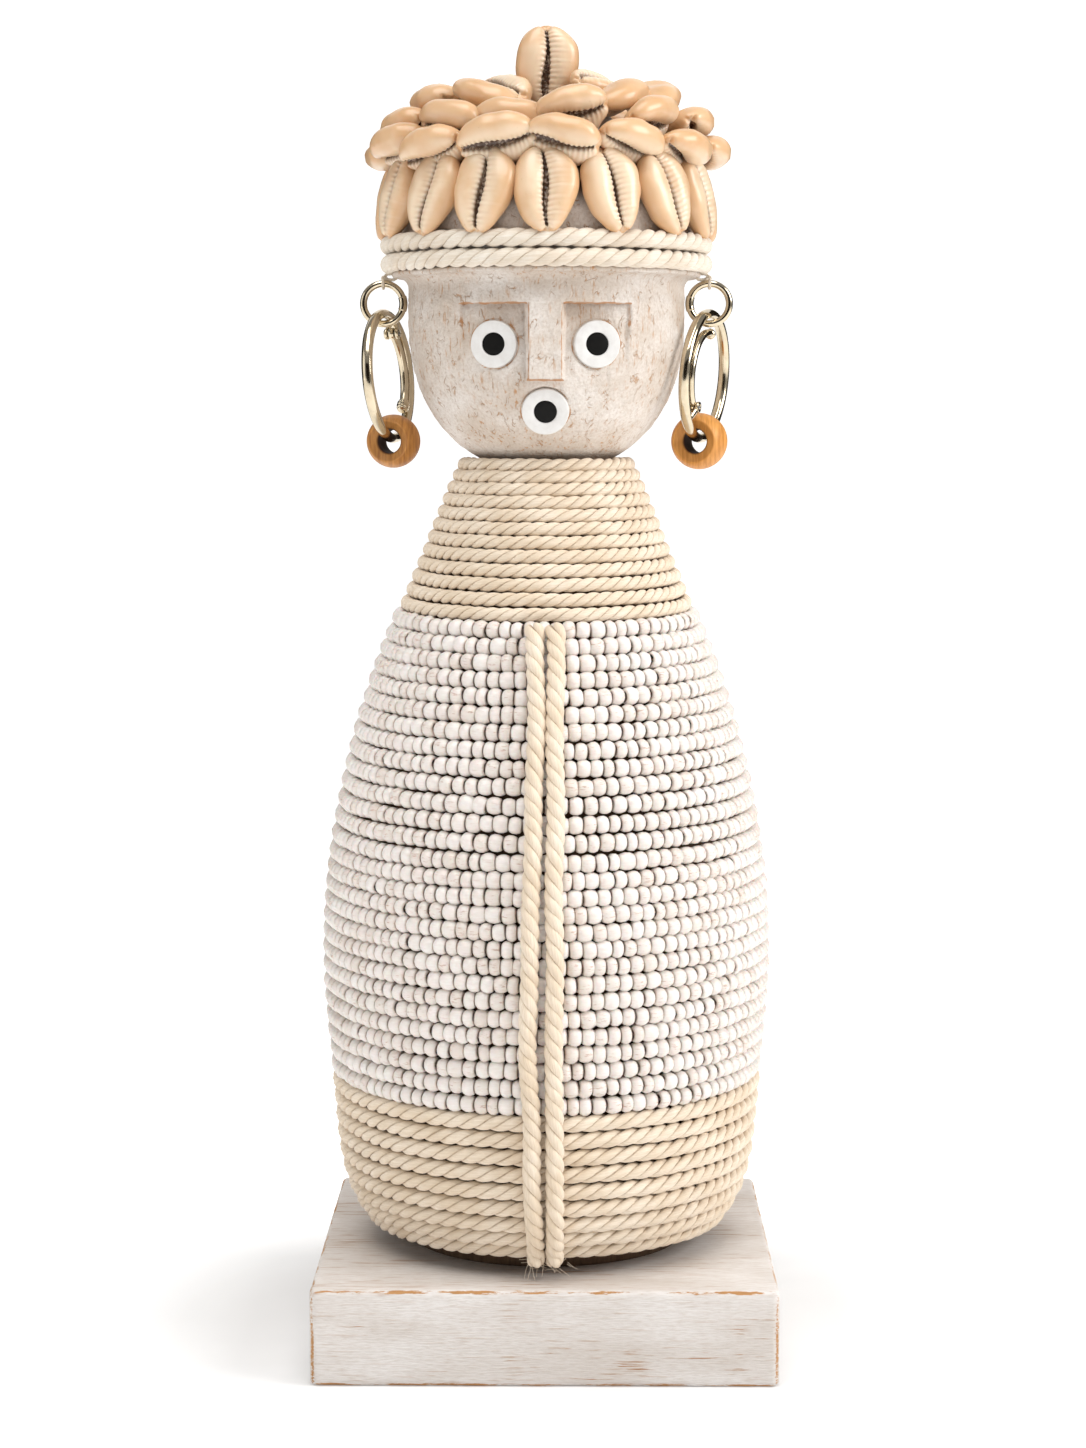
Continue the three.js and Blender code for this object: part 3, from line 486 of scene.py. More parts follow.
def cowrieShell():
    # Polished money cowrie: warm cream enamel, tan towards the back, paler teeth with painted shade in the
    # grooves between them, and a slit painted dark brown as the shade in it, with pale dust in it.
    material, add, cloud, fine, margin, groove, tooth, slit = newMaterial(
        "polished cowrie", 0.32, [((11, 11, 11), cloudlike), ((1.1, 1.1, 1.1), gritty)],
        ["margin", "groove", "tooth", "slit"],
        Coat_Weight=0.3, Coat_Roughness=0.2, Subsurface_Weight=0.08, Subsurface_Scale=1.5 * mm)
    tan = add("MapRange", {"Value": cloud, "From Min": 0.45, "From Max": 0.7, "To Max": 0.45}, **soft)
    fleck = add("MapRange", {"Value": fine, "From Min": 0.66, "From Max": 0.78, "To Max": 0.3})
    dusty = add("MapRange", {"Value": fine, "From Min": 0.5, "From Max": 0.66})
    # the dark brown in the slit and the groove layer are painted shade
    inside = add("Mix", {"Factor": dusty, 6: "#523622", 7: "#C4AE99"}, 2, data_type="RGBA")
    layers = [(margin, "#D9B187"), (tan, "#CB9A66"), (groove, "#B08258"), (tooth, "#F5E9D8"),
              (fleck, "#A9763F"), (slit, inside)]
    return finished(material, "#E6CEB0", layers, fine, 0.025)


def polishedMetal(name, colour, dull, roughness):
    # Plated and buffed wire: bright, with faint cloudy wear that breaks the shine.
    material, add, cloud = newMaterial(name, roughness, [((2.5, 2.5, 2.5), gritty)], Metallic=1.0)
    cloudy = add("MapRange", {"Value": cloud, "From Min": 0.4, "From Max": 0.7, "To Max": 0.3})
    rubbed = add("MapRange", {"Value": cloud, "From Min": 0.3, "From Max": 0.8,
                              "To Min": roughness * 0.6, "To Max": roughness * 1.6})
    return finished(material, colour, [(cloudy, dull)], Roughness=rubbed)


def mouldedDisc(name, colour, mottle, roughness, shine):
    # Polished shell or resin disc: cool white with a faint cloud, or plain black, with a soft gloss.
    material, add, cloud = newMaterial(name, roughness, [((2.2, 2.2, 2.2), gritty)],
                                       Specular_IOR_Level=shine)
    cloudy = add("MapRange", {"Value": cloud, "From Min": 0.4, "From Max": 0.7})
    return finished(material, colour, [(cloudy, mottle)], cloud, 0.02)


# the finish of each material slot, and that of the two hidden dowels
finishes = {
    "plinth_paint": whitewashedPine(),
    "head_paint": whitewashedCarving(),
    "body_cotton": laidCotton("laid cotton rope", "#F1E3D0", "#E5D3BB", "#9C7F60"),
    "head_cotton": laidCotton("bleached laid cotton rope", "#EBE3D6", "#DED1C0", "#AF9577"),
    "bone_bead": boneBead(),
    "bare_wood": oiledWood("dark turned wood", "#553F2C", "#705842", 0.85, 1.0),
    "dowels": oiledWood("bare dowel wood", "#A97C4C", "#C9A070", 0.8, 1.0),
    "cowrie_shell": cowrieShell(),
    "disc_white": mouldedDisc("white shell disc", "#E2E0DD", "#DAD7D3", 0.35, 0.4),
    "pupil_black": mouldedDisc("black resin", "#0C0B0A", "#12110F", 0.5, 0.15),
    "pale_gold": polishedMetal("plated brass wire", "#D6C8AE", "#A8987C", 0.13),
    "pin_steel": polishedMetal("steel pin", "#9A9C9F", "#7E8083", 0.3),
    "bead_wood_left": oiledWood("waxed brown wood", "#9B6129", "#C88B43", 0.5, 0.7),
    "bead_wood_right": oiledWood("waxed honey wood", "#BC782A", "#DE9C4C", 0.5, 0.7),
    "thread": laidCotton("cotton thread", "#F1E8DA", "#E2D3BC"),
}
print("materials made:", len(finishes))


# Plinth

plinth = {
    "edge": 1.3, "corner": 2.0, "step": 1.2, "dent": 0.4,
    # strength, radius and width of the ring of painted shade and grime on the top round the hem
    "grime": 0.25, "grimeRing": 44, "grimeWidth": 9,
}


def plinthShape():
    # A rounded square drawn in by an inset; the insets and heights go up the side like a bevelled block.
    # The worn edges are dented in, and a ring of painted shade and grime lies on the top round the hem.
    low, high = cadBoxOf("plinth")
    half, height = (high[0] - low[0]) / 2, high[2]
    edge, corner = plinth["edge"], plinth["corner"]
    bend = sweep(0, 90, 5)
    inset = np.concatenate([[9, 3, 2], edge * (1 - np.sin(bend)), np.zeros(9)])
    level = np.concatenate([[0, 0, 0], edge * (1 - np.cos(bend)), np.linspace(2, height / 2, 9)])
    inset = np.concatenate([inset, inset[-2::-1]])
    level = np.concatenate([level, height - level[-2::-1]])
    along = np.linspace(-1, 1, int(2 * half / plinth["step"]))
    turn = sweep(0, 90, 7)[1:-1]
    bent = np.maximum(corner - inset, 0.15)[:, None]
    reach = (half - inset)[:, None]
    straight = np.stack([(reach - bent) * along, np.broadcast_to(-reach, (len(inset), len(along)))], -1)
    curve = np.stack([reach - bent + bent * np.sin(turn), -reach + bent - bent * np.cos(turn)], -1)
    outline = np.concatenate([straight, curve], 1)
    sides = []
    for side in range(4):
        c, s = math.cos(side * math.pi / 2), math.sin(side * math.pi / 2)
        sides.append(outline @ np.array([[c, s], [-s, c]]))
    flat = np.concatenate(sides, 1)
    points = np.concatenate([flat, np.broadcast_to(level[:, None, None], (*flat.shape[:2], 1))], -1)
    x, y, z = np.moveaxis(points, -1, 0)
    fromSide = np.stack([half - np.abs(x), half - np.abs(y), np.minimum(z, height - z)])
    # the middle of a rounded edge lies 0.414 of its radius from the sharp corner it replaces
    off = np.min([np.hypot(fromSide[one], fromSide[two]) - 0.414 * size
                  for one, two, size in ((0, 1, corner), (0, 2, edge), (1, 2, edge))], axis=0)
    rough = 0.35 + 0.5 * ripple(3, 11, x, y, z) + 0.35 * ripple(4, 3.5, x, y, z)
    nearEdge = bell(np.maximum(off, 0), 0.5) * (0.8 + 0.2 * ripple(5, 17, x, y, z))
    grime = plinth["grime"] * bell(np.hypot(x, y + 4) - plinth["grimeRing"], plinth["grimeWidth"])
    dent = plinth["dent"] * nearEdge * np.clip(rough, 0, 1)
    points = points - unit(points - np.array([0, 0, height / 2])) * dent[..., None]
    return grid(points, capStart=True, capEnd=True, wear=nearEdge, grime=grime * (z > height - 1))


addPiece("plinthBlock", plinthShape(), "plinth_paint", "plinth")
print("plinth made")


# Turned core under the windings: its radius is a curve through the side of the CAD core

coreRings = cadPoints("body_core")
coreAcross = np.hypot(coreRings[:, 0], coreRings[:, 1])
coreSide = (coreAcross > 15) & (coreRings[:, 2] > 31)
coreCurve = np.polynomial.Polynomial.fit(coreRings[coreSide, 2], coreAcross[coreSide], 8)
plinthTop, neckHeight, headTop = (cadBoxOf(node)[1][2] for node in ("plinth", "body_core", "head"))
crownFoot, headRopeFoot, headRopeTop = (cadBoxOf(node)[end][2] for node, end in (
    ("crown_core", 0), ("head_rope", 0), ("head_rope", 1)))

heights = np.linspace(31.5, neckHeight, 60)
coreProfile = np.concatenate([[[36.9, plinthTop], [37, plinthTop + 0.4], [39.5, 28.5]],
                              np.stack([coreCurve(heights), heights], -1)])
addPiece("turnedCore", lathe(coreProfile, 128), "bare_wood", "body_core")
print("core made")


# Ropes

windings = {
    # thickness in mm, crossing: length of rope from one strand to the next, growth: how much wider
    # apart the rows are at the bottom than at the top
    "shoulder_rope": {"turns": 12, "thickness": 3.7, "crossing": 3.7, "growth": 0.1},
    "hem_rope": {"turns": 9, "thickness": 4.4, "crossing": 4.6, "growth": 0.03},
    "head_rope": {"turns": 2, "thickness": 4.7, "crossing": 4.4, "growth": 0.0},
    "bead_string_upper": {"turns": 14, "thickness": 4.05, "growth": 0.05},
    "bead_string_lower": {"turns": 14, "thickness": 4.05, "growth": 0.04},
}
dress = {
    "gap": 0.3,  # mm between the core and what is wound round it
    "dip": 2.7,  # how much lower the rows hang at the front
    "stepDown": 4 / 18,  # share of a turn at the back in which a row steps down to the next
    "waver": 0.09,
}
strandLay = {
    "orbit": 0.26, "plump": 0.262,  # a strand's place and half thickness as shares of the rope's thickness
    "beside": 1.1, "through": 0.98,  # how much wider a strand is along the surface than through the rope
    "uneven": 0.16, "lumpy": 0.05,  # how much its turn and its thickness vary
    "yarnLay": 0.96,  # turns of the yarns for each turn of the strands
    "flareReach": 1.8,  # mm over which opened strands close
}
drum = 39.0  # mm, radius of the crown block under the head rope
hemLow, hemHigh, shoulderLow = plinthTop + 5.6, plinthTop + 47.2, neckHeight - 38.1
beadMiddle = (shoulderLow + hemHigh) / 2


def drumRadius(z):
    return np.full(np.shape(z), drum)


def dipAt(z):
    return dress["dip"] * np.clip(np.minimum((neckHeight - z) / (neckHeight - shoulderLow),
                                             (z - hemLow) / (hemHigh - hemLow)), 0, 1)


def windingPath(node, top, bottom, radiusAt, step, seed, dips=True):
    # Level rows that hang a little at the front, each stepping down to the next at the back, where the
    # ends of two windings meet halfway down such a step. Rows are even steps along the side of the
    # core, a little wider towards the bottom.
    turns, thickness, growth = (windings[node][part] for part in ("turns", "thickness", "growth"))
    level = np.linspace(top, bottom, 600)
    side = np.concatenate([[0], np.cumsum(np.hypot(np.diff(level), np.diff(radiusAt(level))))])
    turn = np.linspace(0, turns, turns * 500)
    nearest = np.round(turn)
    past = (turn - nearest) / dress["stepDown"] + 0.5
    down = np.where((past > 0) & (past < 1), nearest - 1 + smoothStep(past, 0, 1), np.floor(turn))
    share = (down + 0.5) / turns
    share = share + growth * (share ** 2 - share)
    height = np.interp(share * side[-1], side, level)
    angle = 2 * np.pi * turn
    if dips:
        height = height - dipAt(height) * (1 - np.cos(angle)) / 2
    height = height + dress["waver"] * ripple(seed, 24, angle * 40)
    tilt = np.arctan(radiusAt(height + 0.5) - radiusAt(height - 0.5))
    across = radiusAt(height) + (dress["gap"] + thickness / 2) / np.cos(tilt)
    path = np.stack([np.sin(angle) * across, np.cos(angle) * across, height], -1)
    normal = np.stack([np.sin(angle) * np.cos(tilt), np.cos(angle) * np.cos(tilt), -np.sin(tilt)], -1)
    return evenly(path, normal, step)


def readOff(rows, length, wanted):
    # rows that are known at rising lengths, read off at the wanted ones
    return np.stack([np.interp(wanted, length, part) for part in rows.T], -1)


def evenly(path, normal, step):
    # the same path with points an even step apart
    length = np.concatenate([[0], np.cumsum(np.linalg.norm(np.diff(path, axis=0), axis=1))])
    wanted = np.linspace(0, length[-1], int(length[-1] / step) + 1)
    return readOff(path, length, wanted), unit(readOff(normal, length, wanted)), wanted


def layRope(path, normal, length, thickness, crossing, seed, sides=8, flare=0.0, blunt=1.6):
    # Three strands, each a round tube whose middle goes round the path as a left-handed helix. A
    # strand is a little wider along the rope's surface than through it. flare opens the strands at
    # the start of the path, and blunt is the length over which the ends close.
    tangent = unit(np.gradient(path, axis=0))
    normal = squareTo(tangent, normal)
    side = np.cross(tangent, normal)
    lay = 2 * np.pi / (3 * crossing)
    fromEnd = np.minimum(length, length[-1] - length)
    close = np.sqrt(1 - np.clip(1 - fromEnd / blunt, 0, 0.94) ** 2)
    orbit = (strandLay["orbit"] * thickness * (0.45 + 0.55 * close)
             + flare * np.exp(-length / strandLay["flareReach"]))
    psi = circle(sides)[None, :]
    strands = []
    for strand in range(3):
        theta = -lay * length + 2 * np.pi * strand / 3 + strandLay["uneven"] * ripple(seed, 28, length)
        middle = path + orbit[:, None] * (np.cos(theta)[:, None] * normal + np.sin(theta)[:, None] * side)
        ahead = unit(np.gradient(middle, axis=0))
        across = squareTo(ahead, normal)
        beside = np.cross(ahead, across)
        lumps = 1 + strandLay["lumpy"] * ripple(seed + 1 + strand, 17, length)
        plump = strandLay["plump"] * thickness * close * lumps
        turned = psi - theta[:, None]
        radius = plump[:, None] / np.sqrt((np.cos(turned) / strandLay["through"]) ** 2
                                          + (np.sin(turned) / strandLay["beside"]) ** 2)
        ring = radius[..., None] * (np.cos(psi)[..., None] * across[:, None]
                                    + np.sin(psi)[..., None] * beside[:, None])
        yarn = psi - strandLay["yarnLay"] * lay * length[:, None]
        slow = np.repeat(length[:, None] / 22 + 3.7 * strand, sides, 1)
        strands.append(grid(middle[:, None] + ring, capStart=True, capEnd=True, outward=np.cos(turned),
                            fibre=np.stack([np.cos(yarn), np.sin(yarn), slow], -1)))
    return joined(strands)


def addWoundRope(name, node, slotName, top, bottom, radiusAt, step, seed, sides=8, dips=True):
    values = windings[node]
    path, normal, length = windingPath(node, top, bottom, radiusAt, step, seed, dips)
    rope = layRope(path, normal, length, values["thickness"], values["crossing"], seed, sides)
    addPiece(name, rope, slotName, node)
    print(name, "made,", round(length[-1] / 1000, 2), "m of rope")


addWoundRope("shoulderWinding", "shoulder_rope", "body_cotton",
             neckHeight + 0.5, shoulderLow, coreCurve, 0.8, 11)
addWoundRope("hemWinding", "hem_rope", "body_cotton", hemHigh, hemLow, coreCurve, 0.85, 21)
addWoundRope("headWinding", "head_rope", "head_cotton",
             headRopeTop, headRopeFoot - 1.0, drumRadius, 0.5, 31, 12, False)

frontCord = {
    "thickness": 4.7, "crossing": 4.0, "top": 193.6, "bottom": 29.0, "sway": 0.22,
    "over": 4.2 + 0.6,  # the windings that the cord lies on, and the air between
    "bowAt": 95, "bowReach": 45, "flare": 0.7, "hairs": 16, "hairRadius": 0.045,
}


def looseHairs(foot, seed):
    # fine hairs that stand off a cord's cut end, each a thin bent tube
    rng = np.random.default_rng(seed)
    t = np.linspace(0, 1, 7)[:, None]
    hairs = []
    for index in range(frontCord["hairs"]):
        start = foot + rng.normal(size=3) * [1.7, 0.5, 0.8] + [0, 0, 1.2]
        away = unit(rng.normal(size=3) * [1, 0.5, 0.6] + [0, -0.1, -0.3])
        path = start + rng.uniform(1.5, 4.5) * (t * away + t * t * rng.normal(size=3) * [0.3, 0.2, 0.3])
        path[:, 2] = np.maximum(path[:, 2], plinthTop + 0.1)
        normal = np.broadcast_to([0.31, 0.9, 0.3], path.shape)
        hair = tube(path, normal, frontCord["hairRadius"], frontCord["hairRadius"], 4)
        count = len(hair["points"])
        hairs.append({**hair, "values": {"outward": np.ones((count, 1)), "fibre": np.zeros((count, 3))}})
    return hairs


def addFrontCord(name, node, seed, bow):
    # straight down over the windings, from under the shoulder rope to just below the hem; bow is how
    # far the cord bends aside half way down
    low, high = cadBoxOf(node)
    z = np.linspace(frontCord["top"], frontCord["bottom"], 400)
    depth = coreCurve(np.maximum(z, hemLow + 2.1)) + frontCord["over"] + frontCord["thickness"] / 2
    x = (low[0] + high[0]) / 2 + frontCord["sway"] * ripple(seed, 45, z)
    x = x + bow * (bell(z - frontCord["bowAt"], frontCord["bowReach"]) - 0.25)
    path = np.stack([x, -depth, z], -1)
    path, normal, length = evenly(path, np.broadcast_to([0.0, -1.0, 0.0], path.shape), 0.5)
    rope = layRope(path, normal, length, frontCord["thickness"], frontCord["crossing"], seed, 12,
                   frontCord["flare"])
    addPiece(name, joined([rope, *looseHairs(path[-1], seed)]), "body_cotton", node)


addFrontCord("frontCordLeft", "front_cord_left", 41, -1.8)
addFrontCord("frontCordRight", "front_cord_right", 51, -0.2)
print("front cords made")


# Bead strings

bead = {
    "length": 3.5, "lengthSpread": 0.1, "radius": 2.38, "radiusSpread": 0.03, "sides": 10,
    "shift": 0.07, "tilt": 0.06, "thread": 0.42,
    # a bead's profile from hole to hole, as shares of its length and radius, and the dark at its holes
    "along": [-0.52, -0.4, -0.15, 0.15, 0.4, 0.52], "out": [0.6, 0.83, 1.0, 1.0, 0.83, 0.6],
    "dark": [0.5, 0.0, 0.0, 0.0, 0.0, 0.5],
}


def beadString(path, normal, length, seed):
    # Round beads in a row, a little flatter along the string: each is a closed ring whose section goes
    # from the hole out over the belly and back. Lengths, girths, tilts and tones differ.
    rng = np.random.default_rng(seed)
    count = int(length[-1] / bead["length"])
    size = 1 + bead["lengthSpread"] * rng.uniform(-1.6, 1.6, count)
    size = size * length[-1] / size.sum()
    middle = np.cumsum(size) - size / 2
    ahead, above, centre = (readOff(rows, length, middle)
                            for rows in (np.gradient(path, axis=0), normal, path))
    tangent = unit(ahead + bead["tilt"] * rng.normal(size=(count, 3)))
    up = squareTo(tangent, above)
    side = np.cross(tangent, up)
    girth = bead["radius"] * (1 + bead["radiusSpread"] * rng.normal(size=count))
    centre = centre + bead["shift"] * rng.normal(size=count)[:, None] * side
    out, dark = np.array(bead["out"]), np.array(bead["dark"])
    skew = 0.05 * rng.normal(size=(count, 1))
    x = np.array(bead["along"]) * size[:, None] * (1 + skew)
    turn = circle(bead["sides"])
    lump = 1 + 0.015 * rng.normal(size=(count, 1, bead["sides"]))
    r = (out * girth[:, None])[:, :, None] * np.where(out[None, :, None] > 0.8, lump, 1)
    points = (centre[:, None, None] + x[:, :, None, None] * tangent[:, None, None]
              + (r * np.cos(turn))[..., None] * up[:, None, None]
              + (r * np.sin(turn))[..., None] * side[:, None, None])
    one = grid(points[0], wrapRows=True)
    start = np.arange(count)[:, None, None] * points[0].size // 3
    tone = np.clip(rng.normal(0.35, 0.3, count), 0, 1)
    looks = {"tone": tone[:, None, None], "end": dark[None, :, None],
             "middle": smoothStep(np.cos(turn), 0.7, 1.0)[None, None, :]}
    beads = {"points": points.reshape(-1, 3), "quads": (one["quads"] + start).reshape(-1, 4),
             "triangles": one["triangles"],
             "values": {label: np.broadcast_to(value, points.shape[:3]).reshape(-1, 1).astype(float)
                        for label, value in looks.items()}}
    string = tube(path[::4], normal[::4], bead["thread"], bead["thread"], 6)
    flat = np.zeros((len(string["points"]), 1))
    string["values"] = {"tone": flat, "end": flat + 0.7, "middle": flat}
    return joined([beads, string]), count


def addBeadString(name, node, top, bottom, seed):
    shape, count = beadString(*windingPath(node, top, bottom, coreCurve, 0.8, seed), seed)
    addPiece(name, shape, "bone_bead", node)
    print(name, "made,", count, "beads")


addBeadString("beadsUpper", "bead_string_upper", shoulderLow, beadMiddle, 61)
addBeadString("beadsLower", "bead_string_lower", beadMiddle, hemHigh, 71)


# Head

head = {
    "radius": 36.6, "bowlDepth": 40.5, "bowlPower": 2.2, "bowlCentre": 37.3,
    "lipRadius": 40.9, "lipThickness": 1.5, "lipRound": 2.9,
    "browHeight": 40.6, "socketFoot": 17.5, "socketDepth": 3.6, "socketReach": 22.1,
    "noseFront": 36.45, "noseWidth": 8.4, "noseSpread": 0.32, "noseFoot": 21.0,
    "chisel": 0.12,
}


def bowlRadius(height):
    below = np.clip((head["bowlCentre"] - height) / head["bowlDepth"], 0, 0.9999)
    return head["radius"] * (1 - below ** head["bowlPower"]) ** (1 / head["bowlPower"])


def discPlace(node):
    # middle and outward axis of a flat disc, from the vertices of its CAD node
    points = cadPoints(node)
    middle = points.mean(0)
    axis = np.linalg.svd(points - middle, full_matrices=False)[2][2]
    return middle, axis * (-1 if axis[1] > 0 else 1)


discPlaces = {name: discPlace(name + "_disc") for name in ("eye_left", "eye_right", "mouth")}


def lipProfile():
    # from the top of the bowl through the hollow under the lip, round its edge and over its top
    under = headTop - head["lipThickness"]
    hollow = arc(head["radius"] + head["lipRound"], under - head["lipRound"], head["lipRound"], 180, 98, 9)
    rim = arc(head["lipRadius"] - 0.7, headTop - 0.75, 0.72, -90, 90, 9)
    return np.concatenate([hollow, rim, [[39.5, headTop], [30, headTop], [15, headTop]]])


def headShape():
    # A turned bowl, r = radius of its height, cut back in front to the floor of two eye sockets. The
    # floor is deepest beside the nose and rises to the surface at the outer ends. The nose is the
    # lesser of a flat front and two slanted sides, wherever that stands out of the floor.
    phi = np.radians(np.concatenate([np.arange(-49, 49.1, 0.5), np.arange(51, 309.1, 2.0)]))
    brow, foot, noseHalf = head["browHeight"], head["noseFoot"], head["noseWidth"] / 2
    lipStart = headTop - neckHeight - head["lipThickness"] - head["lipRound"]
    # rows of points, close together where the face is cut and closest at the brow and the nose's foot
    rows = np.concatenate([
        np.linspace(0, 13.5, 18), np.arange(14, foot - 0.2, 0.4), [foot - 0.08, foot + 0.12],
        np.arange(foot + 0.5, brow - 0.3, 0.4), [brow - 0.12, brow + 0.12],
        np.arange(brow + 0.5, lipStart - 0.2, 0.5)])
    h, a = np.meshgrid(rows, phi, indexing="ij")
    whole = bowlRadius(h)
    aside, facing = np.abs(whole * np.sin(a)), np.maximum(np.cos(a), 0.3)
    front, underBrow = np.cos(a) > 0.3, h < brow
    reach = head["socketReach"] - 0.06 * (brow - h) + 0.5 * ripple(5, 20, h)
    fade = 1 - 0.66 * smoothStep(aside, 7, 21)
    down = smoothStep(h, head["socketFoot"], brow - 3)
    edge = smoothStep(aside, reach + 0.35, reach - 0.35) * front
    floor = whole - head["socketDepth"] * fade * down * edge * underBrow
    flat = head["noseFront"] / facing
    slant = ((noseHalf + head["noseFront"] * head["noseSpread"])
             / (np.abs(np.sin(a)) + head["noseSpread"] * facing))
    radius = np.maximum(floor, np.where((h > foot) & underBrow & front, np.minimum(flat, slant), 0))
    sx, sy, sz = radius * np.sin(a), -radius * np.cos(a), h + neckHeight
    chip = ripple(6, 4.5, sx, sy, sz, waves=12) + 0.6 * ripple(7, 1.7, sx, sy, sz, waves=12)
    radius = radius + head["chisel"] * chip * smoothStep(h, 1, 4) * smoothStep(h, lipStart, lipStart - 3)
    # wear is the most of what each cut edge gives: brow, socket's end, nose's sides and nose's foot
    wear = np.max([
        0.8 * bell(h - brow, 0.5) * (aside < reach + 0.5) * front * smoothStep(aside, 3.6, 5.0),
        0.7 * bell(aside - reach, 0.4) * down * underBrow * front,
        0.8 * bell(np.abs(sx) - noseHalf, 0.35) * (h > foot) * (h < brow + 0.4) * front,
        bell(h - foot, 0.3) * (np.abs(sx) < noseHalf + 0.6) * front,
    ], axis=0)
    # painted shade under the brow, beside the nose (most on -X, away from the key lamp), a little above the
    # brow and on the lip
    inSocket = smoothStep(floor - whole, 0.0, -0.8) * (radius < floor + 0.3)
    beside = np.clip(np.abs(sx) - noseHalf - 1.4, 0, 20)
    grime = np.max([
        0.42 * np.exp(-(brow - h) / 1.8) * underBrow * inSocket,
        np.where(sx < 0, 0.3, 0.06) * np.exp(-beside / 1.5) * inSocket,
        0.1 * smoothStep(h, brow - 0.5, brow + 1.5),
    ], axis=0)
    points = around(radius, a, sz)
    for middle, axis in discPlaces.values():
        # a shallow seat for each disc, with a worn rim
        out = points - middle
        depth = out @ axis
        off = np.linalg.norm(out - depth[..., None] * axis, axis=-1)
        sink = smoothStep(off, 6.9, 6.1) * np.maximum(depth + 0.35, 0) * (depth > -6)
        points = points - sink[..., None] * axis
        wear = np.maximum(wear, 0.85 * bell(off - 6.4, 0.3) * (np.abs(depth) < 5))
    upper = lipProfile()
    lip = around(upper[:, :1], phi, np.repeat(upper[:, 1:], len(phi), 1))
    lip[..., 2] += 0.12 * ripple(8, 9, *np.moveaxis(lip, -1, 0)) * smoothStep(upper[:, :1], 37, 40)
    lipWear = np.repeat(bell(upper[:, :1] - head["lipRadius"], 0.5) * 0.45, len(phi), 1)
    return grid(np.concatenate([points, lip]), capStart=True, capEnd=True,
                wear=np.concatenate([wear, lipWear]), grime=np.concatenate([grime, 0 * lipWear + 0.1]))


addPiece("carvedHead", headShape(), "head_paint", "head")

disc = {"radius": 6.05, "rim": 0.35}


def addDisc(name):
    # a flat disc with a rounded rim, and a black inlay a hair below its face
    middle, axis = discPlaces[name]
    right = unit(np.cross([0, 0, 1.0], -axis))
    up = np.cross(-axis, right)
    radius, rim = disc["radius"], disc["rim"]
    face = np.concatenate([[[0.0, -1.0], [5.6, -1.0], [radius, -0.7], [radius, 1 - rim]],
                           arc(radius - rim, 1 - rim, rim, 15, 90, 5),
                           [[4.6, 1.02], [3.15, 1.02], [2.98, 0.93], [2.96, 0.1], [1, 0.1]]])
    inlay = np.concatenate([[[1, 0.15], [2.9, 0.15]], arc(2.75, 0.76, 0.15, 0, 90, 4), [[1.4, 0.93]]])
    for part, slotName, shape in (("disc", "disc_white", lathe(face, 64)),
                                  ("pupil", "pupil_black", lathe(inlay, 48))):
        addPiece(name + part.title(), placed(shape, right, up, axis, middle), slotName, name + "_" + part)


for name in discPlaces:
    addDisc(name)
print("head and discs made")


# Crown block

drumTop = headRopeTop + 0.3
cone = {"draw": 4.8, "rise": 21.2}


def crownShape():
    # the drum and the cone that carry the shells, turned
    share = np.linspace(0, 1, 24)
    profile = np.concatenate([
        [[15, crownFoot], [30, crownFoot]], arc(38.4, crownFoot + 0.6, 0.6, -90, 0, 4),
        np.stack([drum - cone["draw"] * share, drumTop + cone["rise"] * share], -1),
        np.array([[32, 23], [26.4, 25.5], [20.4, 28], [14, 33], [6, 33.8]]) + [0, drumTop]])
    # the part under the shells carries painted shade and is bare wood dark with glue, less so on its top
    height = profile[:, 1] - drumTop
    grime = smoothStep(height, 4, 11) - 0.6 * smoothStep(height, 22, 27)
    return lathe(profile, 96, wear=np.zeros(len(profile)), grime=grime)


addPiece("crownBlock", crownShape(), "head_paint", "crown_core")
print("crown block made")


# Cowrie shells

cowrie = {
    "rows": 88, "toothPitch": 1.35, "lobe": 1.55, "lobeReach": 1.9, "notch": 1.6, "slit": 0.72,
    "wide": 2.15, "narrow": 1.62,  # powers of the outline at the two ends
}


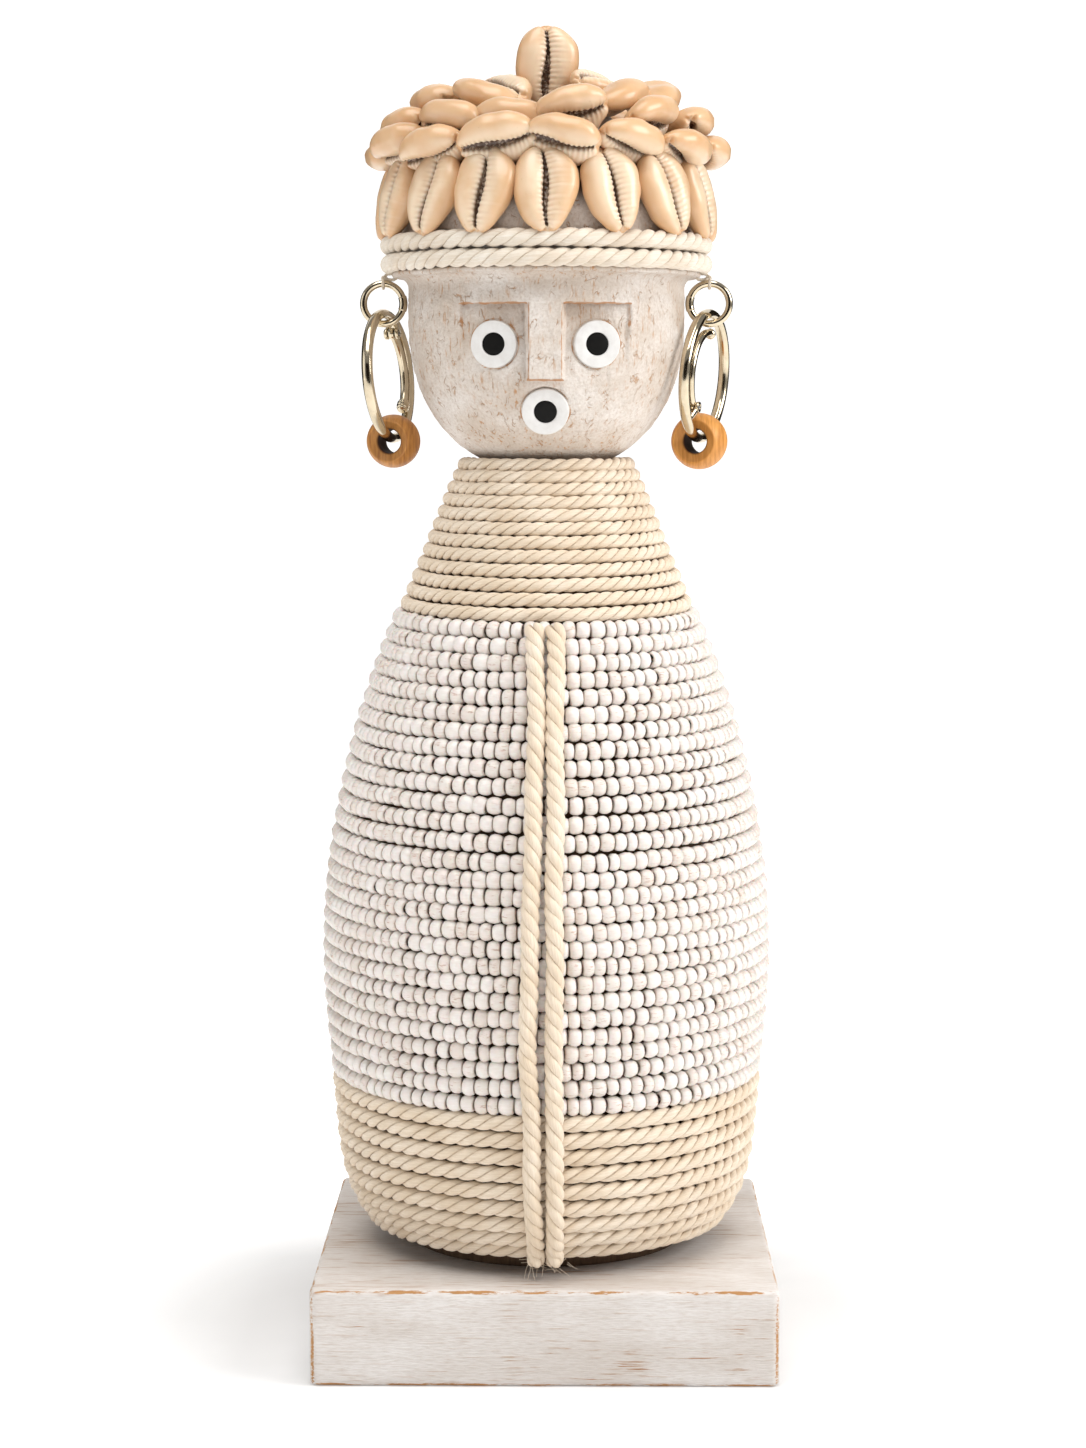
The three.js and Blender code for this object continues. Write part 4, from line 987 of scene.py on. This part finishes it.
def cowrieShape(length, width, thickness, seed, gape=1.0):
    # An egg-shaped shell along Z, wide end up, whose slit faces -Y. Half the width is w/2 (1-|v|^p)^1/2
    # with v from -1 to 1 along the shell and p larger in the wide half. Each side of the section runs
    # over the slit's floor, up its wall, over a plump lip that sinks to the slit, and round the knobby
    # back as half an oval. The teeth are ridges square to the slit, short and beady on the left, and
    # on the right long wrinkles of uneven length.
    rng = np.random.default_rng(seed)
    t = np.linspace(-1, 1, cowrie["rows"])
    v = (np.sin(1.25 * t) / math.sin(1.25) * 0.996)[:, None]
    z = v * length / 2
    full = np.sqrt(1 - np.abs(v) ** np.where(v > 0, cowrie["wide"], cowrie["narrow"]))
    half = width / 2 * full * (1 + 0.08 * v + 0.035 * bell(v - 0.5, 0.22))
    high = thickness * full ** 0.8
    base, back = 0.44 * high, 0.56 * high * (1 + 0.1 * v)
    widest = bell(v + 0.25 + 0.2 * rng.normal(), 0.55)
    slitHalf = cowrie["slit"] * gape * (0.4 + 0.6 * widest) * np.minimum(1, half / 3)
    step = (np.arange(1, 13) / 12) ** 1.35
    bend = np.radians(90 * np.arange(1, 9) / 8)
    grow = smoothStep(full, 0.3, 0.7)

    def halfSection(side, toothReach, toothHeight, slant):
        over = (half - slitHalf) * step
        x = slitHalf + over
        phase = 2 * np.pi * v * length / 2 / cowrie["toothPitch"] + 0.7 * side
        crowd = 0.9 * ripple(seed + side, 7, z)
        tooth = (0.5 + 0.5 * np.cos(phase + crowd + slant * over)) ** 0.8
        uneven = np.maximum(1 + 0.6 * ripple(seed + 5 + side, 2.6, z), 0.3)
        near = np.exp(-(over / (toothReach * uneven)) ** 1.6) * grow
        sink = cowrie["lobe"] * full * np.exp(-(over / cowrie["lobeReach"]) ** 1.3)
        y = -base * (1 - np.minimum(x / half, 1) ** 2.5) ** 0.5 + sink - toothHeight * (tooth - 0.5) * near
        edgeTooth = (0.5 + 0.5 * np.cos(phase + crowd)) * grow
        lipY = y[:, :1] + 0.4
        floorY = np.minimum(lipY + 1.9 * full, back * 0.5)
        wallX = np.concatenate([0 * slitHalf, slitHalf * 0.8, slitHalf * 1.05 - 0.22 * edgeTooth,
                                slitHalf - 0.24 * edgeTooth], 1)
        wallY = np.concatenate([floorY, floorY, lipY * 0.4 + floorY * 0.6, lipY], 1)
        hump = 1 + 0.05 * ripple(seed, 9, side * half * np.cos(bend), z + 0 * bend)
        backX = half * np.cos(bend) ** 0.9
        backY = back * np.sin(bend) ** 0.95 * hump
        # slit, tooth, groove and margin on the wall, over the lip and on the back, each after what it
        # is lessened by on the wall: teeth and slit run out to the two ends
        inSlit = 0.3 * np.exp(-over / 0.35) * (1 - 0.6 * tooth)
        looks = [(smoothStep(full, 0.12, 0.5), [1.0, 1.0, 0.8, 0.25], inSlit, 0),
                 (edgeTooth, [0.0, 0.0, 0.4, 0.7], 0.32 * tooth * near, 0),
                 (1, [0.0, 0.0, 0.2, 0.3], 0.26 * (1 - tooth) * near, 0),
                 (1, [0.0, 0.0, 0.0, 0.0], smoothStep(x / half, 0.45, 1.0), 1)]
        values = [np.concatenate([0 * wallX + np.array(wall) * fade, lip, 0 * backX + rim], 1)
                  for fade, wall, lip, rim in looks]
        return [np.concatenate([wallX, x, backX], 1) * side, np.concatenate([wallY, y, backY], 1), *values]

    right = halfSection(1, 1.7 + 1.3 * rng.uniform(), 0.13 + 0.1 * rng.uniform(), 0.25 * rng.normal())
    left = halfSection(-1, 0.8, 0.36, 0.0)
    x, y, slit, tooth, groove, margin = (np.concatenate([r, l[:, -2:0:-1]], 1) for r, l in zip(right, left))
    sway = 0.5 * np.sin(np.pi * v * 0.9 + 0.5) * full
    # both ends are notched where the slit runs out
    front = smoothStep(y / back, 0.8, 0.3)
    z = z - np.sign(v) * cowrie["notch"] * bell(x, 1.2) * np.abs(v) ** 5 * front
    lump = 0.18 * ripple(seed + 9, 6, x, y, z) * full
    points = np.stack([x + sway, y, z], -1) * (1 + lump / (0.5 * width))[..., None]
    return grid(points, capStart=True, capEnd=True, slit=slit, tooth=tooth, groove=groove, margin=margin)


skyward = np.array([0, 0, 1.0])


def outAndAlong(azimuth):
    # the directions out from the crown and along its edge; azimuth is 0 at the front and grows to the right
    a = math.radians(azimuth)
    return np.array([math.sin(a), -math.cos(a), 0]), np.array([math.cos(a), math.sin(a), 0])


def posed(shape, azimuth, radius, height, tip=0.0, swing=0.0, face=0.0):
    # A shell that lies along the crown's edge. tip lifts its right end, swing turns its right end in,
    # and face turns its slit from down (0) out (90) to up.
    out, along = outAndAlong(azimuth)
    f = math.radians(face)
    slitWay = math.sin(f) * out - math.cos(f) * skyward
    turn = np.array([np.cross(-slitWay, along), -slitWay, along])
    return placed(shape, *spun(spun(turn, out, tip), skyward, swing), out * radius + skyward * height)


def standing(shape, azimuth, radius, height, lean, twist=0.0):
    # A shell that stands against the crown's side with its slit outwards and its top leaning in
    out, along = outAndAlong(azimuth)
    turn = spun(spun(np.array([along, -out, skyward]), along, -lean), out, twist)
    return placed(shape, *turn, out * radius + skyward * height)


ringNodes = sorted(name for name in frame["nodes"] if name.startswith("ring_cowrie"))
ringShell = {"length": 22.9, "width": 16.0, "thickness": 8.6, "radius": 41.4, "lift": 9.2, "lean": 13.0}
# azimuth off the even places and turn about the slit in degrees, for the shells that the front shows
ringTurns = {0: (0, 4), 1: (0, 12), 2: (0, 18), 3: (0, 12), 4: (0, 6),
             14: (1.7, -4), 13: (4, -10), 12: (4, -8), 11: (2, 4)}

for index, node in enumerate(ringNodes):
    aside, twist = ringTurns.get(index, (0, 7 * math.sin(4.3 * index)))
    length = ringShell["length"] + 0.4 * math.sin(5.1 * index)
    width = ringShell["width"] + 0.3 * math.cos(3.7 * index)
    gape = 1.0 + 0.35 * math.sin(2.3 * index + 1)
    shape = cowrieShape(length, width, ringShell["thickness"], 100 + index, gape)
    shape = standing(shape, 360 / len(ringNodes) * index + aside, ringShell["radius"],
                     drumTop + ringShell["lift"], ringShell["lean"], twist)
    addPiece("standingShell" + node[-2:], shape, "cowrie_shell", node)
print("standing shells made:", len(ringNodes))

# each front shell's azimuth, and how far it is out, up, tipped, swung and faced, in mm and degrees
tiers = {
    "outer": {
        "count": 14, "radius": 39.6, "height": 315.2, "size": (21.0, 15.2, 9.0), "seed": 200,
        "places": [(-90, 1.0, -1.4, -3, 6, 12), (-66, 1.5, 0.6, 10, 12, 24), (-45, 1.6, -1.2, 14, 8, 34),
                   (-18, 0.6, 0.8, 12, 6, 48), (6, 0.8, 0.8, -10, -10, 44), (33, 0.0, 0.6, -12, 8, 26),
                   (60, 0.8, -0.6, -10, 8, 14), (88, 2.0, -0.4, -8, 6, 10)],
    },
    "middle": {
        "count": 12, "radius": 32.6, "height": 320.6, "size": (20.5, 14.8, 8.8), "seed": 300,
        "places": [(-78, 4.0, 0.2, 12, 10, 14), (-43, 2.6, 0.8, -6, 8, 38), (-16, -2.0, 1.0, -6, 8, 30),
                   (11, 0.6, 3.0, 14, -8, 50), (50, 2.4, 1.6, 4, 8, 46), (82, 5.0, 1.4, -8, 10, 16)],
    },
    "upper": {
        "count": 9, "radius": 21.5, "height": 327.3, "size": (20.0, 14.6, 8.6), "seed": 400,
        "places": [(-82, 7.0, 0.6, 4, 8, 8), (-40, 2.4, 0.4, -20, 10, 14), (-64, -8.0, 4.2, -12, 10, 160),
                   (62, -6.0, 5.0, -8, -8, 155), (48, 4.0, 0.4, 16, 8, 14), (82, 7.0, 1.6, 12, 10, 10)],
    },
}
# mean and spread of the same five for the shells behind, and the spread of every shell's size
behindPlaces = {"mean": [0, 0, 0, 8, 16], "spread": [0.7, 0.6, 9, 8, 10], "size": 0.03}


def tierShells(tier):
    # the front shells as listed and the rest of the ring even behind them, each a little off true
    values = tiers[tier]
    places, (length, width, thickness) = values["places"], values["size"]
    rng = np.random.default_rng(values["seed"])
    free = 360 - (places[-1][0] - places[0][0])
    rest = values["count"] - len(places)
    steps = places[-1][0] + free * np.arange(1, rest + 1) / (rest + 1)
    behind = [(azimuth, *rng.normal(behindPlaces["mean"], behindPlaces["spread"])) for azimuth in steps]
    shells = []
    for index, (azimuth, out, up, tip, swing, face) in enumerate([*places, *behind]):
        size = 1 + behindPlaces["size"] * rng.normal()
        gape = 2.2 if face > 40 else 1.5
        shape = cowrieShape(length * size, width * size, thickness, values["seed"] + index, gape)
        radius, height = values["radius"] + out, values["height"] + up
        shells.append(posed(shape, azimuth, radius, height, tip, swing, face))
    return shells


for tier in ("outer", "middle"):
    addPiece(tier + "ShellTier", joined(tierShells(tier)), "cowrie_shell", "cowrie_tier_" + tier)
for index, shape in enumerate(tierShells("upper")):
    addPiece(f"upperShell{index + 1}", shape, "cowrie_shell", f"upper_cowrie_{index + 1}")
topShell = {"length": 21.2, "width": 16.6, "thickness": 9.4, "seed": 500, "gape": 1.6}
topMiddle = sum(cadBoxOf("top_cowrie"))[2] / 2
addPiece("topShell", standing(cowrieShape(**topShell), 0, 0, topMiddle, 0), "cowrie_shell", "top_cowrie")
print("crown shells made")


# Earrings

earring = {
    "ringWire": 0.95, "sleeve": 1.12, "hoopRadius": 16.5, "hoopWide": 1.5, "hoopDeep": 1.32,
    "armWide": 1.15, "armDeep": 1.05, "earAside": 1.55, "padRib": 0.07,
    "beadHalf": 4.75, "beadHole": 3.2, "beadDrop": 0.8, "thread": 0.42,
}
clips = {
    # radius of the arm in the hoop, and the angles of its pin and its pad from the top, in degrees
    "left": {"armRadius": 12.8, "eye": 27, "pad": 128, "padRadius": 1.65, "beadRadius": 7.1},
    "right": {"armRadius": 11.4, "eye": -136, "pad": 10, "padRadius": 1.35, "beadRadius": 7.5},
}


def ringPath(centre, first, second, radius, angle):
    # points round a centre, at angles in radians from the second direction towards the first
    a = np.asarray(angle, float)[..., None]
    return centre + radius * (np.sin(a) * first + np.cos(a) * second)


def wireOn(centre, path, wide, deep, sides, closed=False):
    # round or oval wire along a path round a centre
    return tube(path, path - centre, wide, deep, sides, closed)


def woodBead(radius):
    # a bead whose belly is part of an oval, with flat rims a little darker, and a bore painted dark towards
    # its middle as shade
    half, hole = earring["beadHalf"], earring["beadHole"]
    height = half * np.sin(sweep(-62, 62, 22)) / math.sin(math.radians(62))
    belly = np.stack([radius * np.sqrt(1 - (0.62 * height / half) ** 2), height], -1)
    rim = belly[-1, 0]
    face = np.array([[rim - 0.12, half + 0.1], [rim - 0.3, half + 0.1], [rim - 0.5, half],
                     [hole + 0.5, half - 0.95], [hole + 0.15, half - 1.15], [hole, half - 1.35],
                     [hole, half - 3]])
    profile = np.concatenate([belly, face, face[::-1] * [1, -1]])
    bore = np.maximum(smoothStep(profile[:, 0], hole + 0.4, hole), 0.18 * (profile[:, 0] < rim - 0.4))
    return lathe(profile, 80, ring=True, bore=bore)


def clipPad(radius):
    # a ribbed pad, pinched at both ends
    rib = sweep(-90, 90, 40)
    swell = radius * np.cos(rib) ** 0.5 * (1 + earring["padRib"] * np.cos(rib * 14))
    return lathe(np.stack([np.maximum(swell, 0.05), 1.15 * radius * np.sin(rib)], -1), 32)


def addEarring(side):
    # Ring, hoop, clip and bead, each in the plane of its CAD node. The hoop's plane is square to the
    # axis on which its bead slides, and its angles are from the top, positive towards the back.
    clip, slide = clips[side], joints[side + "_bead_slide"]
    gold = "pale_gold"
    low, high = cadBoxOf("ear_ring_" + side)
    centre, wire = (low + high) / 2, earring["ringWire"]
    reach = (high[0] - low[0]) / 2 - wire
    inward = np.array([-np.sign(centre[0]), 0, 0])
    ring = wireOn(centre, ringPath(centre, [1.0, 0, 0], skyward, reach, circle(96)), wire, wire, 16, True)
    sleevePath = ringPath(centre, skyward, inward, reach, sweep(-20, 20, 12))
    sleeve = wireOn(centre, sleevePath, earring["sleeve"], earring["sleeve"], 16)
    addPiece(side + "EarRing", joined([ring, sleeve]), gold, "ear_ring_" + side, body=side + "_ring")

    centre, across = np.array(slide["pos_m"]) / mm, unit(np.array(slide["axis"], float))
    across = across * np.sign(across[0])
    behind = unit(np.cross(skyward, across))
    up = np.cross(across, behind)
    hoopRadius, armRadius = earring["hoopRadius"], clip["armRadius"]
    eye, pad = math.radians(clip["eye"]), math.radians(clip["pad"])
    eyePlace, padPlace = (ringPath(centre, behind, up, armRadius, angle) for angle in (eye, pad))
    outward, padOut = unit(eyePlace - centre), unit(padPlace - centre)
    lengthwise = np.cross(across, outward)

    hoopPath = ringPath(centre, behind, up, hoopRadius, circle(120))
    hoop = [wireOn(centre, hoopPath, earring["hoopWide"], earring["hoopDeep"], 16, True)]
    # two drilled ears carry the pin, each on a short bridge from the hoop
    rim = np.array([[1.5, -0.3], [1.42, -0.42], [0.6, -0.45], [0.6, 0.45], [1.42, 0.42], [1.5, 0.3]])
    for way in (-1, 1):
        middle = eyePlace + across * way * earring["earAside"]
        hoop.append(placed(lathe(rim, 32, ring=True), lengthwise, outward, across, middle))
        start = middle + outward * 0.9
        end = eyePlace + outward * (hoopRadius - armRadius) + across * way * 0.6
        bridge = start + np.linspace(0, 1, 6)[:, None] * (end - start)
        hoop.append(tube(bridge, np.cross(outward, across) + 0 * bridge, 0.5, 1.1, 12))
    addPiece(side + "Hoop", joined(hoop), gold, "hoop_" + side, body=side + "_hoop")

    armPath = ringPath(centre, behind, up, armRadius, sweep(clip["eye"], clip["pad"], 60))
    arm = wireOn(centre, armPath, earring["armWide"], earring["armDeep"], 14)
    padShape = placed(clipPad(clip["padRadius"]), across, padOut, np.cross(across, padOut), padPlace)
    barrel = [[0.6, -0.7], [1.4, -0.7], [1.5, -0.6], [1.5, 0.6], [1.4, 0.7], [0.6, 0.7]]
    knuckle = placed(lathe(barrel, 32, ring=True), lengthwise, outward, across, eyePlace)
    clipShape = joined([arm, padShape, knuckle])
    addPiece(side + "ClipArm", clipShape, gold, "hoop_clip_" + side, body=side + "_clip")
    pin = placed(lathe([[0.4, -2.05], [0.5, -1.95], [0.5, 1.95], [0.4, 2.05]], 20), lengthwise, outward,
                 across, eyePlace)
    addPiece(side + "ClipPin", pin, "pin_steel", "clip_pin_" + side, body=side + "_hoop")
    hung = placed(woodBead(clip["beadRadius"]), across, up, -behind,
                  centre - up * (hoopRadius + earring["beadDrop"]))
    addPiece(side + "WoodBead", hung, "bead_wood_" + side, "wood_bead_" + side, body=side + "_bead")


def addThread(side):
    # a loop through the lip's hole, round its edge and under the top of the ear ring
    low, high = cadBoxOf("ear_ring_" + side)
    ringX, ringTop = abs(low[0] + high[0]) / 2, high[2]
    hole, edge = 39.9, 42.9
    knots = np.array([
        [hole, 0, headTop - 1.9], [hole, 0, headTop - 0.8], [hole + 0.6, 0, headTop - 0.35],
        [edge - 0.5, 0, headTop - 0.35], [edge, 0, headTop - 1.1], [ringX + 0.2, -1.3, ringTop + 0.7],
        [ringX, -1.65, ringTop - 0.3], [ringX, -0.9, ringTop - 2.2], [ringX, 0.9, ringTop - 2.2],
        [ringX, 1.65, ringTop - 0.3], [ringX - 0.5, 1.3, ringTop + 0.9], [edge - 0.6, 0.4, headTop - 1.9],
    ]) * [-1 if side == "left" else 1, 1, 1]
    count = len(knots)
    loop = readOff(np.concatenate([knots, knots[:1]]), np.arange(count + 1),
                   np.linspace(0, count, 240, endpoint=False))
    for smoothing in range(40):
        loop = (np.roll(loop, 1, 0) + loop + np.roll(loop, -1, 0)) / 3
    loop = np.concatenate([loop, loop[:3]])
    path, normal, length = evenly(loop, np.cross(np.gradient(loop, axis=0), [0.3, 0.9, 0.2]), 0.18)
    thread = layRope(path, normal, length, 2 * earring["thread"], 0.75, 7, 6, blunt=0.4)
    addPiece(side + "Thread", thread, "thread", "thread_loop_" + side)


for side in clips:
    addEarring(side)
    addThread(side)
print("earrings made")

for name in ("foot_dowel", "neck_dowel"):
    dowel = frame["nodes"][name]
    dowel.data.materials.clear()
    dowel.data.materials.append(finishes["dowels"])
